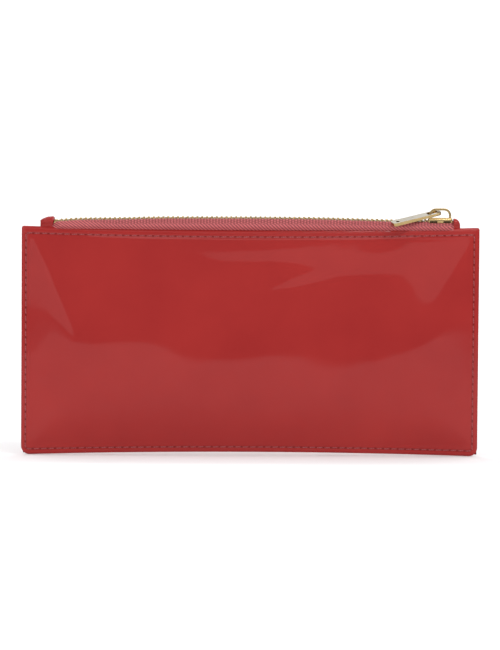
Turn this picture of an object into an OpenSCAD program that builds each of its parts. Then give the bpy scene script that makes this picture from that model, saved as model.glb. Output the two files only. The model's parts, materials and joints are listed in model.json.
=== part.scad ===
// Flat leather wallet that closes with a metal zip along its top edge.
// +X runs along the zip towards its closed end, +Y to the rear, +Z up.
// The origin is at the middle of the bottom edge, between the two halves.

/* [Wallet] */
// Width over the side edges
wallet_w = 200; // [180:1:220]
// Height of the corners above the base
wallet_h = 100; // [90:1:110]
// How far the top and bottom edges curve in at the middle
edge_sag = 1.5; // [1:0.1:3]
// Radius of the bottom corners
bottom_corner_r = 3.5; // [2:0.5:8]
// Radius of the top corners
top_corner_r = 1.2; // [0.5:0.1:3]
// Half of the thickness over the flat middle
bulge = 5.9; // [5.5:0.1:6.5]
// Half of the thickness at the sewn edges
rim_t = 1.7; // [1.6:0.05:2]
// Width of the flat sewn edge
rim_w = 3.5; // [3:0.1:5]

/* [Layers] */
// Thickness of the outer leather
leather_t = 0.9; // [0.7:0.05:1]
// Thickness of the stiffener, of the turned edge and of the zip tape
inlay_t = 0.4; // [0.3:0.05:0.5]
// Thickness of the lining cloth
lining_t = 0.35; // [0.2:0.05:0.4]
// Width of the leather edge that is turned inside
hem_w = 7; // [5:0.5:10]
// Thickness of the pocket leather
pocket_t = 0.5; // [0.4:0.1:0.8]

/* [Stitching] */
// Distance from one stitch to the next
stitch_pitch = 3.25; // [2.5:0.05:4]
// Length of the thread that shows in one stitch
stitch_l = 2.3; // [1.5:0.1:2.5]
// Thickness of the thread
thread_d = 0.4; // [0.3:0.05:0.6]
// Distance of the stitch line from the edge
stitch_inset = 2.3; // [2:0.1:3]

/* [Zip] */
// Height of the middle of the chain
chain_z = 102.8; // [102:0.1:104]
// Spacing of the teeth along one tape
tooth_pitch = 2.117; // [2:0.001:2.2]
// Length of one tooth along the chain
tooth_l = 0.95; // [0.8:0.01:0.98]
// Thickness of the teeth
tooth_t = 1.5; // [1.2:0.1:1.6]
// Half of the width of the closed chain
chain_half_w = 2.0; // [1.8:0.1:2.1]
// First tooth, at the open end of the zip
chain_start = -83.6; // [-84:0.1:-80]
// Last tooth, at the closed end of the zip
chain_end = 87.7; // [86:0.1:88]

/* [Slider] */
// Middle of the slider with the zip closed
slider_x = 82.7; // [80:0.1:83]
// Length of the slider
slider_l = 11; // [10:0.5:12]
// Half of the width of the slider
slider_half_w = 3.45; // [3.4:0.05:3.8]
// Thickness of the slider's plates
slider_plate_t = 0.65; // [0.5:0.05:0.7]
// Length of the bridge that carries the pull
bridge_l = 9.7; // [9:0.1:10]
// Height of the bridge above the slider
bridge_h = 4.1; // [4:0.05:4.3]
// Width of the bridge band
bridge_w = 1.3; // [1.1:0.05:1.35]
// Thickness of the bridge band
bridge_t = 0.7; // [0.6:0.05:0.7]

/* [Pull] */
// Length from the cross bar to the free end
pull_l = 21.3; // [18:0.1:24]
// Width of the pull
pull_w = 4.8; // [4.6:0.1:5]
// Thickness of the pull
pull_t = 1.4; // [1.2:0.1:1.6]
// Radius of the cross bar that lies under the bridge
pull_bar_r = 0.55; // [0.5:0.01:0.56]
// Clear length of the eye
eye_l = 4.9; // [4.8:0.1:5.2]
// Clear width of the eye
eye_w = 3.4; // [3.35:0.05:3.6]
// Slope of the pull towards its free end
pull_slope = 11.5; // [11:0.1:11.8]
// Turn of the pull towards the front
pull_yaw = 17.5; // [17.3:0.1:18]
// Roll of the pull, its front edge down
pull_roll = 16; // [15:0.5:17]

/* [Hidden] */

leather_color = "#ab3331";
stitch_color = "#8f3735";
tape_color = "#b8595b";
lining_color = "#8c2f30";
board_color = "#8a7f72";
gold_color = "#cbb994";

arc_fn = 1440;
round_fn = 96;
// A thin slot is kept between the two halves
seam_gap = 0.05;
far = 400;

// The outline's edges are arcs through both corners
edge_r = (pow(wallet_w / 2, 2) + pow(edge_sag, 2)) / (2 * edge_sag);

// The bulge is an arc over the height and another over the width, cut flat at the middle
crown = bulge + 0.2;
crown_z = 58;
rim_top_z = edge_sag + rim_w;
side_flat = 66;
rise = crown - rim_t;
height_r = (pow(crown_z - rim_top_z, 2) + pow(rise, 2)) / (2 * rise);
side_run = wallet_w / 2 - rim_w - side_flat;
side_r = (pow(side_run, 2) + pow(rise, 2)) / (2 * rise);

inlay_at = leather_t;
lining_at = inlay_at + inlay_t;
pocket_at = lining_at + lining_t;

function edge_curve(x) = edge_r - sqrt(pow(edge_r, 2) - pow(x, 2));
function top_z(x) = wallet_h - edge_sag + edge_curve(x);
function bottom_z(x) = edge_sag - edge_curve(x);
function height_t(z) = crown - height_r + sqrt(pow(height_r, 2) - pow(z - crown_z, 2));
function width_t(x) =
    let (past = max(0, abs(x) - side_flat))
    past > side_run ? rim_t : crown - side_r + sqrt(pow(side_r, 2) - pow(past, 2));
function half_t(x, z) = max(rim_t, min(bulge, height_t(z), width_t(x)));

// Zip tape
tape_top_z = chain_z + inlay_t / 2;
tape_inner_y = 0.9;
tape_bend_y = 2.0;
tape_bend_r = 0.8;
tape_side_y = tape_bend_y + tape_bend_r;
tape_foot_y = height_t(top_z(0)) - inlay_at;
tape_foot_z = wallet_h - edge_sag - 0.3;
tape_sewn_z = 88;
tape_left_x = -88.3;
tape_right_x = 91.3;
lining_top_z = 97.9;

// Slider
slider_clear = 0.1;
plate_low_z = chain_z + tooth_t / 2 + slider_clear;
slider_top_z = plate_low_z + slider_plate_t;
under_top_z = chain_z - tooth_t / 2 - slider_clear;
under_half_w = 2.2;
skirt_t = 0.5;
skirt_low_z = 101.7;
post_l = 2;
post_x = slider_x + slider_l / 2 - 1.6;
post_half_w = 0.5;
slider_corner_r = 6;

// Pull
pull_at = [slider_x - 0.5, 0.5, slider_top_z + 2.3];
hole_r = 0.8;
hole_from_end = 2.6;
pull_corner_r = 1.4;

// Card slots: the lowest edge of all of them, and the top edge and the width of each
slots_low_z = 12;
slot_half_w = 92;
slot_top_z = [72, 60, 48];
slip_low_z = 12;
slip_top_z = 78;

// ---- outline and layers -------------------------------------------------

module outline(inset = 0) {
    half = wallet_w / 2 - inset;
    low_r = bottom_corner_r;
    up_r = top_corner_r;
    difference() {
        union() {
            translate([-half + low_r, inset]) square([2 * (half - low_r), wallet_h - 2 * inset]);
            translate([-half, inset + low_r])
                square([2 * half, wallet_h - 2 * inset - low_r - up_r]);
            for (s = [-1, 1]) {
                translate([s * (half - low_r), inset + low_r]) circle(r = low_r, $fn = round_fn);
                translate([s * (half - up_r), wallet_h - inset - up_r])
                    circle(r = up_r, $fn = round_fn);
                translate([s * (half - (up_r + low_r) / 2) - (low_r - up_r) / 2, wallet_h / 2])
                    square([low_r - up_r, wallet_h / 2 - inset]);
            }
        }
        translate([0, wallet_h - edge_sag + edge_r - inset]) circle(r = edge_r, $fn = arc_fn);
        translate([0, edge_sag - edge_r + inset]) circle(r = edge_r, $fn = arc_fn);
    }
}

module slab(inset = 0) {
    translate([0, bulge + 1, 0]) rotate([90, 0, 0])
        linear_extrude(bulge + 1) outline(inset);
}

// Everything behind the middle plane and under the outer surface, moved in by depth
module body_shape(depth) {
    intersection() {
        translate([-far / 2, -depth, 0]) rotate([90, 0, 90]) linear_extrude(far) union() {
            translate([-1, -1]) square([rim_t + 1, wallet_h + 2]);
            intersection() {
                translate([crown - height_r, crown_z]) circle(r = height_r, $fn = arc_fn);
                translate([-1, -1]) square([bulge + 1, wallet_h + 2]);
            }
        }
        translate([0, -depth, -1]) linear_extrude(wallet_h + 2) union() {
            translate([-wallet_w, -1]) square([2 * wallet_w, rim_t + 1]);
            translate([-side_flat, -1]) square([2 * side_flat, bulge + 2]);
            for (s = [-1, 1]) intersection() {
                translate([s * side_flat, crown - side_r]) circle(r = side_r, $fn = arc_fn);
                translate([s > 0 ? side_flat : -side_flat - side_run - 1, -1])
                    square([side_run + 1, bulge + 2]);
            }
        }
    }
}

module sheet(depth, thickness, inset = 0) {
    intersection() {
        slab(inset);
        difference() {
            body_shape(depth);
            body_shape(depth + thickness);
        }
    }
}

module block(low, high) {
    translate(low) cube(high - low);
}

// ---- pieces of one half, drawn for the rear -------------------------------

module panel_shape() {
    sheet(0, leather_t);
    difference() {
        sheet(inlay_at, inlay_t);
        block([-wallet_w / 2 + hem_w, -1, hem_w], [wallet_w / 2 - hem_w, bulge + 1, wallet_h + 1]);
        block([-wallet_w, -1, tape_sewn_z], [wallet_w, bulge + 1, wallet_h + 1]);
    }
}

module stiffener_shape() {
    intersection() {
        sheet(inlay_at, inlay_t);
        block([-wallet_w / 2 + hem_w, -1, hem_w], [wallet_w / 2 - hem_w, bulge + 1, tape_sewn_z]);
    }
}

module lining_shape() {
    intersection() {
        sheet(lining_at, lining_t, 0.6);
        block([-wallet_w, -1, -1], [wallet_w, bulge + 1, lining_top_z]);
    }
}

module tape_profile() {
    bend_z = tape_top_z - tape_bend_r;
    translate([tape_inner_y, tape_top_z - inlay_t])
        square([tape_bend_y - tape_inner_y, inlay_t]);
    intersection() {
        difference() {
            translate([tape_bend_y, bend_z]) circle(r = tape_bend_r, $fn = round_fn);
            translate([tape_bend_y, bend_z]) circle(r = tape_bend_r - inlay_t, $fn = round_fn);
        }
        translate([tape_bend_y, bend_z]) square(tape_bend_r);
    }
    polygon([
        [tape_side_y, bend_z], [tape_side_y - inlay_t, bend_z],
        [tape_side_y - inlay_t, tape_foot_z + 1.5], [tape_foot_y - inlay_t, tape_foot_z],
        [tape_foot_y, tape_foot_z], [tape_side_y, tape_foot_z + 1.5]
    ]);
}

module tape_shape() {
    intersection() {
        sheet(inlay_at, inlay_t);
        block([-wallet_w / 2 + 4, -1, tape_sewn_z], [wallet_w / 2 - 4, bulge + 1, wallet_h + 1]);
    }
    difference() {
        translate([tape_left_x, 0, 0]) rotate([90, 0, 90])
            linear_extrude(tape_right_x - tape_left_x) tape_profile();
        intersection() {
            slab();
            body_shape(0);
        }
    }
}

// The slot in which a tooth or a stop grips the edge of the tape
module tape_slot(from_x, to_x) {
    block([from_x, tape_inner_y, chain_z - inlay_t / 2], [to_x, bulge, chain_z + inlay_t / 2]);
}

// One row of teeth. The teeth beside the slider's post stand apart, the rest reach past the middle.
module teeth_shape(first_x) {
    count = floor((chain_end - first_x) / tooth_pitch);
    difference() {
        for (i = [0 : count]) {
            x = first_x + i * tooth_pitch;
            parted = x + tooth_l / 2 > post_x - post_l / 2 - slider_clear;
            inner_y = parted ? post_half_w + slider_clear : -0.6;
            block([x - tooth_l / 2, inner_y, chain_z - tooth_t / 2],
                  [x + tooth_l / 2, chain_half_w, chain_z + tooth_t / 2]);
        }
        tape_slot(chain_start - 5, chain_end + 5);
    }
}

module top_stop_shape() {
    stop_x = chain_end + tooth_l / 2 + 0.25;
    difference() {
        block([stop_x, post_half_w + slider_clear, chain_z - 0.85],
              [stop_x + 1, chain_half_w + 0.1, chain_z + 0.85]);
        tape_slot(stop_x - 1, stop_x + 2);
    }
}

// One stitch lying on the outer surface at x and z, turned by angle in the plane of the panel
module stitch(x, z, angle) {
    step = 0.5;
    slope_x = atan((half_t(x + step, z) - half_t(x - step, z)) / (2 * step));
    slope_z = atan((half_t(x, z + step) - half_t(x, z - step)) / (2 * step));
    translate([x, half_t(x, z), z]) rotate([-slope_z, 0, slope_x]) rotate([0, -angle, 0])
        cube([stitch_l, thread_d, thread_d], center = true);
}

module edge_stitches() {
    line_x = wallet_w / 2 - stitch_inset;
    side_low = stitch_inset + 2.2;
    side_count = floor((wallet_h - 2 * stitch_inset - 3) / stitch_pitch);
    for (s = [-1, 1], i = [0 : side_count])
        stitch(s * line_x, side_low + i * stitch_pitch, 90);
    bottom_count = floor((2 * line_x - 2) / stitch_pitch);
    for (i = [0 : bottom_count]) {
        x = (i - bottom_count / 2) * stitch_pitch;
        stitch(x, bottom_z(x) + stitch_inset - 0.1, -asin(x / edge_r));
    }
}

module zip_stitches() {
    line_x = wallet_w / 2 - stitch_inset;
    count = floor((2 * line_x - 2) / stitch_pitch);
    for (i = [0 : count]) {
        x = (i - count / 2) * stitch_pitch;
        stitch(x, top_z(x) - stitch_inset + 0.2, asin(x / edge_r));
    }
}

// ---- rear half -----------------------------------------------------------

module rear_panel() {
    color(leather_color) panel_shape();
}

module rear_stiffener() {
    color(board_color) stiffener_shape();
}

module rear_lining() {
    color(lining_color) lining_shape();
}

module rear_zip_tape() {
    color(tape_color) tape_shape();
}

module rear_teeth() {
    color(gold_color) teeth_shape(chain_start);
}

module rear_edge_stitching() {
    color(stitch_color) edge_stitches();
}

module rear_zip_stitching() {
    color(stitch_color) zip_stitches();
}

module rear_top_stop() {
    color(gold_color) top_stop_shape();
}

// Each slot's leather covers all that is below its top edge and lies on the one behind it
module card_slot(level) {
    color(leather_color) intersection() {
        sheet(pocket_at + level * pocket_t, pocket_t, 0.6);
        block([-slot_half_w, seam_gap, slots_low_z], [slot_half_w, bulge, slot_top_z[level]]);
    }
}

// Seam down the middle that parts the left cards from the right ones
module card_slot_stitching() {
    count = floor((slot_top_z[2] - slots_low_z - 4) / stitch_pitch);
    inner_at = pocket_at + len(slot_top_z) * pocket_t;
    color(stitch_color) for (i = [0 : count]) {
        z = slots_low_z + 3 + i * stitch_pitch;
        translate([0, half_t(0, z) - inner_at, z])
            cube([thread_d, thread_d, stitch_l], center = true);
    }
}

// Leather folded over the end of the chain, open towards the teeth
module left_end_tab() {
    low_z = wallet_h - 0.2;
    color(leather_color) difference() {
        intersection() {
            translate([0, 3.4, 0]) rotate([90, 0, 0]) linear_extrude(6.8) polygon([
                [-91.5, low_z], [-91.5, 102.3], [-88.9, 103.9], [-86.7, 104.5], [-84.9, 104.3],
                [-84.9, low_z]
            ]);
            translate([-95, 0, 0]) rotate([90, 0, 90]) linear_extrude(15) union() {
                translate([-3.4, low_z - 1]) square([6.8, 4]);
                translate([0, 102.3]) intersection() {
                    square([6.8, 4.6], center = true);
                    circle(r = 3.6, $fn = round_fn);
                }
            }
        }
        block([tape_left_x - 0.1, -tape_side_y - 0.1, low_z - 1],
              [-80, tape_side_y + 0.1, tape_top_z + 0.1]);
        block([chain_start - 3.2, -chain_half_w - 0.3, low_z - 1],
              [-80, chain_half_w + 0.3, chain_z + 0.95]);
    }
}

// Leather folded over the closed end of the tapes
module right_end_tab() {
    low_z = wallet_h - 0.2;
    corner_r = 1.6;
    color(leather_color) difference() {
        translate([0, 3.2, 0]) rotate([90, 0, 0]) linear_extrude(6.4) union() {
            translate([89.9, low_z]) square([2.7 - corner_r, 4]);
            translate([89.9, low_z]) square([2.7, 4 - corner_r]);
            translate([92.6 - corner_r, low_z + 4 - corner_r])
                circle(r = corner_r, $fn = round_fn);
        }
        block([80, -tape_side_y - 0.1, low_z - 1],
              [tape_right_x + 0.1, tape_side_y + 0.1, tape_top_z + 0.1]);
    }
}

// Metal stop that joins both tapes at the open end
module bottom_stop() {
    stop_l = 1.9;
    stop_x = chain_start - tooth_l / 2 - 0.1 - stop_l;
    color(gold_color) difference() {
        block([stop_x, -1.7, chain_z - 0.85], [stop_x + stop_l, 1.7, chain_z + 0.85]);
        tape_slot(stop_x - 1, stop_x + stop_l + 1);
        mirror([0, 1, 0]) tape_slot(stop_x - 1, stop_x + stop_l + 1);
    }
}

// ---- front half ----------------------------------------------------------

module front_panel() {
    color(leather_color) mirror([0, 1, 0]) panel_shape();
}

module front_stiffener() {
    color(board_color) mirror([0, 1, 0]) stiffener_shape();
}

module front_lining() {
    color(lining_color) mirror([0, 1, 0]) lining_shape();
}

module front_slip_pocket() {
    color(lining_color) mirror([0, 1, 0]) intersection() {
        sheet(pocket_at, pocket_t, 0.6);
        block([-slot_half_w, seam_gap, slip_low_z], [slot_half_w, bulge, slip_top_z]);
    }
}

module front_zip_tape() {
    color(tape_color) mirror([0, 1, 0]) tape_shape();
}

module front_teeth() {
    color(gold_color) mirror([0, 1, 0]) teeth_shape(chain_start + tooth_pitch / 2);
}

module front_edge_stitching() {
    color(stitch_color) mirror([0, 1, 0]) edge_stitches();
}

module front_zip_stitching() {
    color(stitch_color) mirror([0, 1, 0]) zip_stitches();
}

module front_top_stop() {
    color(gold_color) mirror([0, 1, 0]) top_stop_shape();
}

// ---- slider and pull -------------------------------------------------------

module slider_plan(half_w) {
    translate([slider_x, 0]) intersection() {
        square([slider_l, 2 * half_w], center = true);
        circle(r = slider_corner_r, $fn = round_fn);
    }
}

// Two plates joined by the post that parts the teeth, with skirts down both sides
module slider_body() {
    chamfer = 0.4;
    color(gold_color) difference() {
        union() {
            translate([0, 0, plate_low_z]) linear_extrude(slider_plate_t)
                slider_plan(slider_half_w);
            translate([0, 0, under_top_z - slider_plate_t]) linear_extrude(slider_plate_t)
                slider_plan(under_half_w);
            block([post_x - post_l / 2, -post_half_w, under_top_z - 0.1],
                  [post_x + post_l / 2, post_half_w, plate_low_z + 0.1]);
            translate([0, 0, skirt_low_z]) linear_extrude(plate_low_z - skirt_low_z + 0.1)
                difference() {
                    slider_plan(slider_half_w);
                    translate([slider_x - slider_l, -slider_half_w + skirt_t])
                        square([2 * slider_l, 2 * (slider_half_w - skirt_t)]);
                }
        }
        for (side = [-1, 1]) {
            translate([slider_x + side * 3, 0, 102.35])
                cube([3.2, 3 * slider_half_w, 0.5], center = true);
        }
        translate([slider_x - slider_l / 2, 0, slider_top_z]) rotate([0, 45, 0])
            cube([chamfer * 2, 3 * slider_half_w, chamfer * 2], center = true);
    }
}

module bridge_outline(length, height, corner_r) {
    intersection() {
        union() {
            translate([-length / 2, 0]) square([length, height - corner_r]);
            translate([-length / 2 + corner_r, 0]) square([length - 2 * corner_r, height]);
            for (s = [-1, 1])
                translate([s * (length / 2 - corner_r), height - corner_r])
                    circle(r = corner_r, $fn = round_fn);
        }
        translate([-length / 2, 0]) square([length, height]);
    }
}

module slider_bridge() {
    color(gold_color) translate([slider_x, bridge_w / 2, slider_top_z]) rotate([90, 0, 0])
        linear_extrude(bridge_w) difference() {
            bridge_outline(bridge_l, bridge_h, 2.5);
            translate([0, -0.1])
                bridge_outline(bridge_l - 2 * bridge_t, bridge_h - bridge_t + 0.1, 1.7);
        }
}

// The pull along -X from its cross bar, which lies on the Y axis
module pull_shape() {
    plate_x = -pull_bar_r - eye_l;
    difference() {
        union() {
            rotate([90, 0, 0]) cylinder(r = pull_bar_r, h = pull_w, center = true, $fn = round_fn);
            block([plate_x - 1, -pull_w / 2, -pull_bar_r], [0, pull_w / 2, pull_bar_r]);
            translate([0, 0, -pull_bar_r]) linear_extrude(pull_t) union() {
                translate([-pull_l + pull_corner_r, -pull_w / 2])
                    square([pull_l - pull_corner_r + plate_x, pull_w]);
                translate([-pull_l, -pull_w / 2 + pull_corner_r])
                    square([pull_corner_r, pull_w - 2 * pull_corner_r]);
                for (s = [-1, 1])
                    translate([-pull_l + pull_corner_r, s * (pull_w / 2 - pull_corner_r)])
                        circle(r = pull_corner_r, $fn = round_fn);
            }
        }
        difference() {
            block([plate_x, -eye_w / 2, -2], [1, eye_w / 2, 2]);
            rotate([90, 0, 0]) cylinder(r = pull_bar_r, h = pull_w, center = true, $fn = round_fn);
        }
        translate([-pull_l + hole_from_end, 0, -2]) cylinder(r = hole_r, h = 4, $fn = round_fn);
    }
}

module pull() {
    color(gold_color) translate(pull_at) rotate([0, 0, pull_yaw]) rotate([0, -pull_slope, 0])
        rotate([pull_roll, 0, 0]) pull_shape();
}

rear_panel();
rear_stiffener();
rear_lining();
rear_zip_tape();
rear_teeth();
rear_edge_stitching();
rear_zip_stitching();
card_slot(0);  // card_slot_top
card_slot(1);  // card_slot_middle
card_slot(2);  // card_slot_bottom
card_slot_stitching();
left_end_tab();
right_end_tab();
bottom_stop();
rear_top_stop();
front_panel();
front_stiffener();
front_lining();
front_slip_pocket();
front_zip_tape();
front_teeth();
front_edge_stitching();
front_zip_stitching();
front_top_stop();
slider_body();
slider_bridge();
pull();
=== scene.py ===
"""Flat patent leather wallet with a zip along its top edge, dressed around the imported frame."""

import json
import logging
import math
from dataclasses import dataclass, field, replace
from enum import Enum
from typing import Callable, Sequence

import bpy
import numpy as np
from mathutils import Euler, Matrix, Vector


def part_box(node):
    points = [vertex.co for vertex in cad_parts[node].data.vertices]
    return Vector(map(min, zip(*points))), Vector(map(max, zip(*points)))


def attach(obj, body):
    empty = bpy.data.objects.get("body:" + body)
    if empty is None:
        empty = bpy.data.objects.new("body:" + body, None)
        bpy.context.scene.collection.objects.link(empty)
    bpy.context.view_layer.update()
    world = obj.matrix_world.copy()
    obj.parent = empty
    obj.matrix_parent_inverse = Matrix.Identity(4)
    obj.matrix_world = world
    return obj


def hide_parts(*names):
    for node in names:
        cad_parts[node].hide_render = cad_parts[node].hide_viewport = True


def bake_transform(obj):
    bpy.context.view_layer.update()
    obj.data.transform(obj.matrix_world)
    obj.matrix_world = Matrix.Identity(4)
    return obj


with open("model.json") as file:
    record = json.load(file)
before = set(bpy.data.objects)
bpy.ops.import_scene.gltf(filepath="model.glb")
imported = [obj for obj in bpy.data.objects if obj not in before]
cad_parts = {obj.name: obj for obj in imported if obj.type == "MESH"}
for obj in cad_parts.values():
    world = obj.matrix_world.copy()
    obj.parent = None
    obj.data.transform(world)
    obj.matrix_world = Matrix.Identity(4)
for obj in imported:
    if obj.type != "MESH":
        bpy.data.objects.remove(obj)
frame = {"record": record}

logging.basicConfig(level=logging.INFO, format="%(name)s: %(message)s")
LOG = logging.getLogger("wallet")

MM = 0.001
TOUCH = 0.001 * MM
CREASE = 40.0  # degrees: folded and cut edges that bend by more than this stay sharp
ROUND = 60.0  # degrees: the same on round pieces, whose facets shouldn't show
WAVE_BANDS = 3.2  # the bands that a wave texture draws in one unit
MIX_LOW, MIX_HIGH, MIX_OUT = 6, 7, 2  # the colour sockets of a mix node
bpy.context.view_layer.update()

Object = bpy.types.Object
Material = bpy.types.Material


class Side(Enum):
    """The half of the wallet that a piece belongs to; its value is the sign of Y."""

    FRONT = -1
    REAR = 1

    @property
    def word(self) -> str:
        """The half's name as the pieces carry it."""
        return self.name.lower()


class Body(Enum):
    """The bodies of the frame that pieces ride on."""

    REAR = "rear_half"
    FRONT = "front_half"
    SLIDER = "slider"
    PULL = "pull"


# ---- small tools ------------------------------------------------------------


def only(obj: Object) -> Object:
    """Make one object the only selected and the active one.

    Args:
        obj: The object to work on.

    Returns:
        The same object.
    """
    if bpy.context.mode != "OBJECT":
        bpy.ops.object.mode_set(mode="OBJECT")
    bpy.ops.object.select_all(action="DESELECT")
    obj.select_set(True)
    bpy.context.view_layer.objects.active = obj
    return obj


def modify(obj: Object, kind: str, **settings: object) -> Object:
    """Add a modifier with its settings and apply it.

    Args:
        obj: The object to change.
        kind: The modifier's type.
        **settings: Values for the modifier's properties.

    Returns:
        The same object.
    """
    only(obj)
    modifier = obj.modifiers.new(kind.lower(), kind)
    for key, value in settings.items():
        setattr(modifier, key, value)
    bpy.ops.object.modifier_apply(modifier=modifier.name)
    return obj


def settle(obj: Object) -> Object:
    """Put an object's place, turn and scale into its mesh.

    Args:
        obj: The object.

    Returns:
        The same object, at the origin.
    """
    only(obj)
    bpy.ops.object.transform_apply(location=True, rotation=True, scale=True)
    return obj


def tidy_mesh(obj: Object, merge: float = 0.0) -> Object:
    """Merge doubles if asked and point all faces outwards.

    Args:
        obj: The object to tidy.
        merge: Distance within which vertices are merged, in metres, or 0.

    Returns:
        The same object.
    """
    only(obj)
    bpy.ops.object.mode_set(mode="EDIT")
    bpy.ops.mesh.select_all(action="SELECT")
    if merge:
        bpy.ops.mesh.remove_doubles(threshold=merge)
    bpy.ops.mesh.normals_make_consistent(inside=False)
    bpy.ops.object.mode_set(mode="OBJECT")
    return obj


def smooth(obj: Object, degrees: float = 35.0) -> Object:
    """Shade an object smooth, but for its sharp edges.

    Args:
        obj: The object.
        degrees: Edges that bend by more than this stay sharp.

    Returns:
        The same object.
    """
    only(obj)
    bpy.ops.object.shade_smooth_by_angle(angle=math.radians(degrees))
    return obj


def soften(obj: Object, width: float, segments: int, degrees: float) -> Object:
    """Round the sharp edges of a solid.

    Args:
        obj: The solid.
        width: The edges' radius, in metres.
        segments: The steps in each rounded edge.
        degrees: Edges that bend by more than this are rounded.

    Returns:
        The same solid.
    """
    return modify(obj, "BEVEL", width=width, segments=segments, limit_method="ANGLE",
                  angle_limit=math.radians(degrees))


def box_piece(name: str, low: Sequence[float], high: Sequence[float], bevel: float = 0.0,
              segments: int = 2) -> Object:
    """A block between two corners, with rounded edges.

    Args:
        name: The object's name.
        low: Its lowest corner, in metres.
        high: Its highest corner, in metres.
        bevel: The edges' radius, in metres.
        segments: The steps in each rounded edge.

    Returns:
        The new object, with its place in its mesh.
    """
    middle = [(a + b) / 2 for a, b in zip(low, high)]
    bpy.ops.object.select_all(action="DESELECT")
    bpy.ops.mesh.primitive_cube_add(size=1, location=middle)
    obj = bpy.context.object
    obj.name = name
    obj.scale = [b - a for a, b in zip(low, high)]
    settle(obj)
    if bevel:
        modify(obj, "BEVEL", width=bevel, segments=segments, limit_method="NONE")
    return obj


def cut(obj: Object, cutter: Object, operation: str = "DIFFERENCE") -> Object:
    """Cut one solid with another, or join them, and remove the second.

    Args:
        obj: The solid that stays.
        cutter: The solid that is used up.
        operation: The boolean operation.

    Returns:
        The first solid.
    """
    modify(obj, "BOOLEAN", operation=operation, object=cutter, solver="EXACT")
    bpy.data.objects.remove(cutter, do_unlink=True)
    return obj


def joined(pieces: Sequence[Object], name: str) -> Object:
    """Join several meshes into one object.

    Args:
        pieces: The objects to join.
        name: The new name.

    Returns:
        The joined object.
    """
    only(pieces[0])
    for piece in pieces:
        piece.select_set(True)
    if len(pieces) > 1:
        bpy.ops.object.join()
    pieces[0].name = name
    pieces[0].data.name = name
    return pieces[0]


def copies(model: Object, places: Sequence[Matrix], name: str) -> Object:
    """Copy a model to several places, each copy with its own mesh, and join the row.

    Args:
        model: The object that is modelled once; it is used up.
        places: One matrix for each copy.
        name: The row's name.

    Returns:
        The joined row.
    """
    row = []
    for place in places:
        twin = model.copy()
        twin.data = model.data.copy()
        twin.data.transform(place)
        bpy.context.scene.collection.objects.link(twin)
        row.append(twin)
    bpy.data.objects.remove(model, do_unlink=True)
    return joined(row, name)


def graded(low: float, high: float, fine: int, band: float, coarse: float,
           crowd: float = 1.5) -> np.ndarray:
    """Grid lines that crowd together near both ends.

    Args:
        low: The first line.
        high: The last line.
        fine: How many steps each crowded band has.
        band: The width of each crowded band.
        coarse: The largest step between the bands.
        crowd: How strongly the lines crowd towards the ends, where 1 is evenly.

    Returns:
        The lines' places.
    """
    ramp = band * (np.arange(fine + 1) / fine) ** crowd
    steps = max(1, math.ceil((high - low - 2 * band) / coarse))
    middle = np.linspace(low + band, high - band, steps + 1)[1:-1]
    return np.concatenate([low + ramp, middle, (high - ramp)[::-1]])


def grid_sheet(name: str, across: np.ndarray, up: np.ndarray,
               place: Callable[[np.ndarray, np.ndarray], np.ndarray]) -> Object:
    """A grid whose lines are at given places, laid on a surface.

    Args:
        name: The object's name.
        across: The places of the columns.
        up: The places of the rows.
        place: Gives the points, n by 3, for the columns' and rows' places of all vertices.

    Returns:
        The new open sheet.
    """
    bpy.ops.object.select_all(action="DESELECT")
    bpy.ops.mesh.primitive_grid_add(x_subdivisions=len(across) - 1,
                                    y_subdivisions=len(up) - 1, size=1)
    obj = bpy.context.object
    obj.name = name
    obj.data.name = name
    flat = read_points(obj)
    column = np.rint((flat[:, 0] + 0.5) * (len(across) - 1)).astype(int)
    row = np.rint((flat[:, 1] + 0.5) * (len(up) - 1)).astype(int)
    write_points(obj, place(across[column], up[row]))
    return obj


def grid_values(xs: np.ndarray, rows: np.ndarray, obj: Object,
                rule: Callable[[np.ndarray, np.ndarray], np.ndarray]) -> np.ndarray:
    """Values of a rule at the grid places of a sheet that is still open.

    Args:
        xs: The places of the columns.
        rows: The places of the rows.
        obj: The sheet made from them by grid_sheet.
        rule: Gives a value for a column's and a row's place.

    Returns:
        One value for each vertex.
    """
    count = len(xs)
    index = np.arange(len(obj.data.vertices))
    return rule(xs[index % count], rows[index // count])


def put_values(obj: Object, name: str, values: np.ndarray) -> None:
    """Store one number for each vertex under a name that materials can read.

    Args:
        obj: The mesh object.
        name: The attribute's name.
        values: One number for each vertex.
    """
    layer = obj.data.attributes.new(name, "FLOAT", "POINT")
    layer.data.foreach_set("value", np.asarray(values, np.float32))


def read_points(obj: Object) -> np.ndarray:
    """Read the vertices of an object's mesh.

    Args:
        obj: The mesh object.

    Returns:
        The points, n by 3.
    """
    flat = np.empty(len(obj.data.vertices) * 3)
    obj.data.vertices.foreach_get("co", flat)
    return flat.reshape(-1, 3)


def write_points(obj: Object, points: np.ndarray) -> None:
    """Move the vertices of an object's mesh.

    Args:
        obj: The mesh object.
        points: The new points, n by 3.
    """
    obj.data.vertices.foreach_set("co", np.ascontiguousarray(points, float).ravel())
    obj.data.update()


def ease(t: np.ndarray) -> np.ndarray:
    """A smooth step from 0 to 1.

    Args:
        t: Places, where the step runs from 0 to 1.

    Returns:
        The step's values.
    """
    t = np.clip(t, 0.0, 1.0)
    return t * t * (3 - 2 * t)


# ---- finishes ---------------------------------------------------------------


def linear(code: str, alpha: float = 1.0) -> tuple[float, float, float, float]:
    """Turn an sRGB hex colour to linear values.

    Args:
        code: The colour, such as "#ab3331".
        alpha: The fourth value.

    Returns:
        Red, green, blue and alpha.
    """
    parts = [int(code[i:i + 2], 16) / 255 for i in (1, 3, 5)]
    bent = [c / 12.92 if c <= 0.04045 else ((c + 0.055) / 1.055) ** 2.4 for c in parts]
    return bent[0], bent[1], bent[2], alpha


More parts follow.
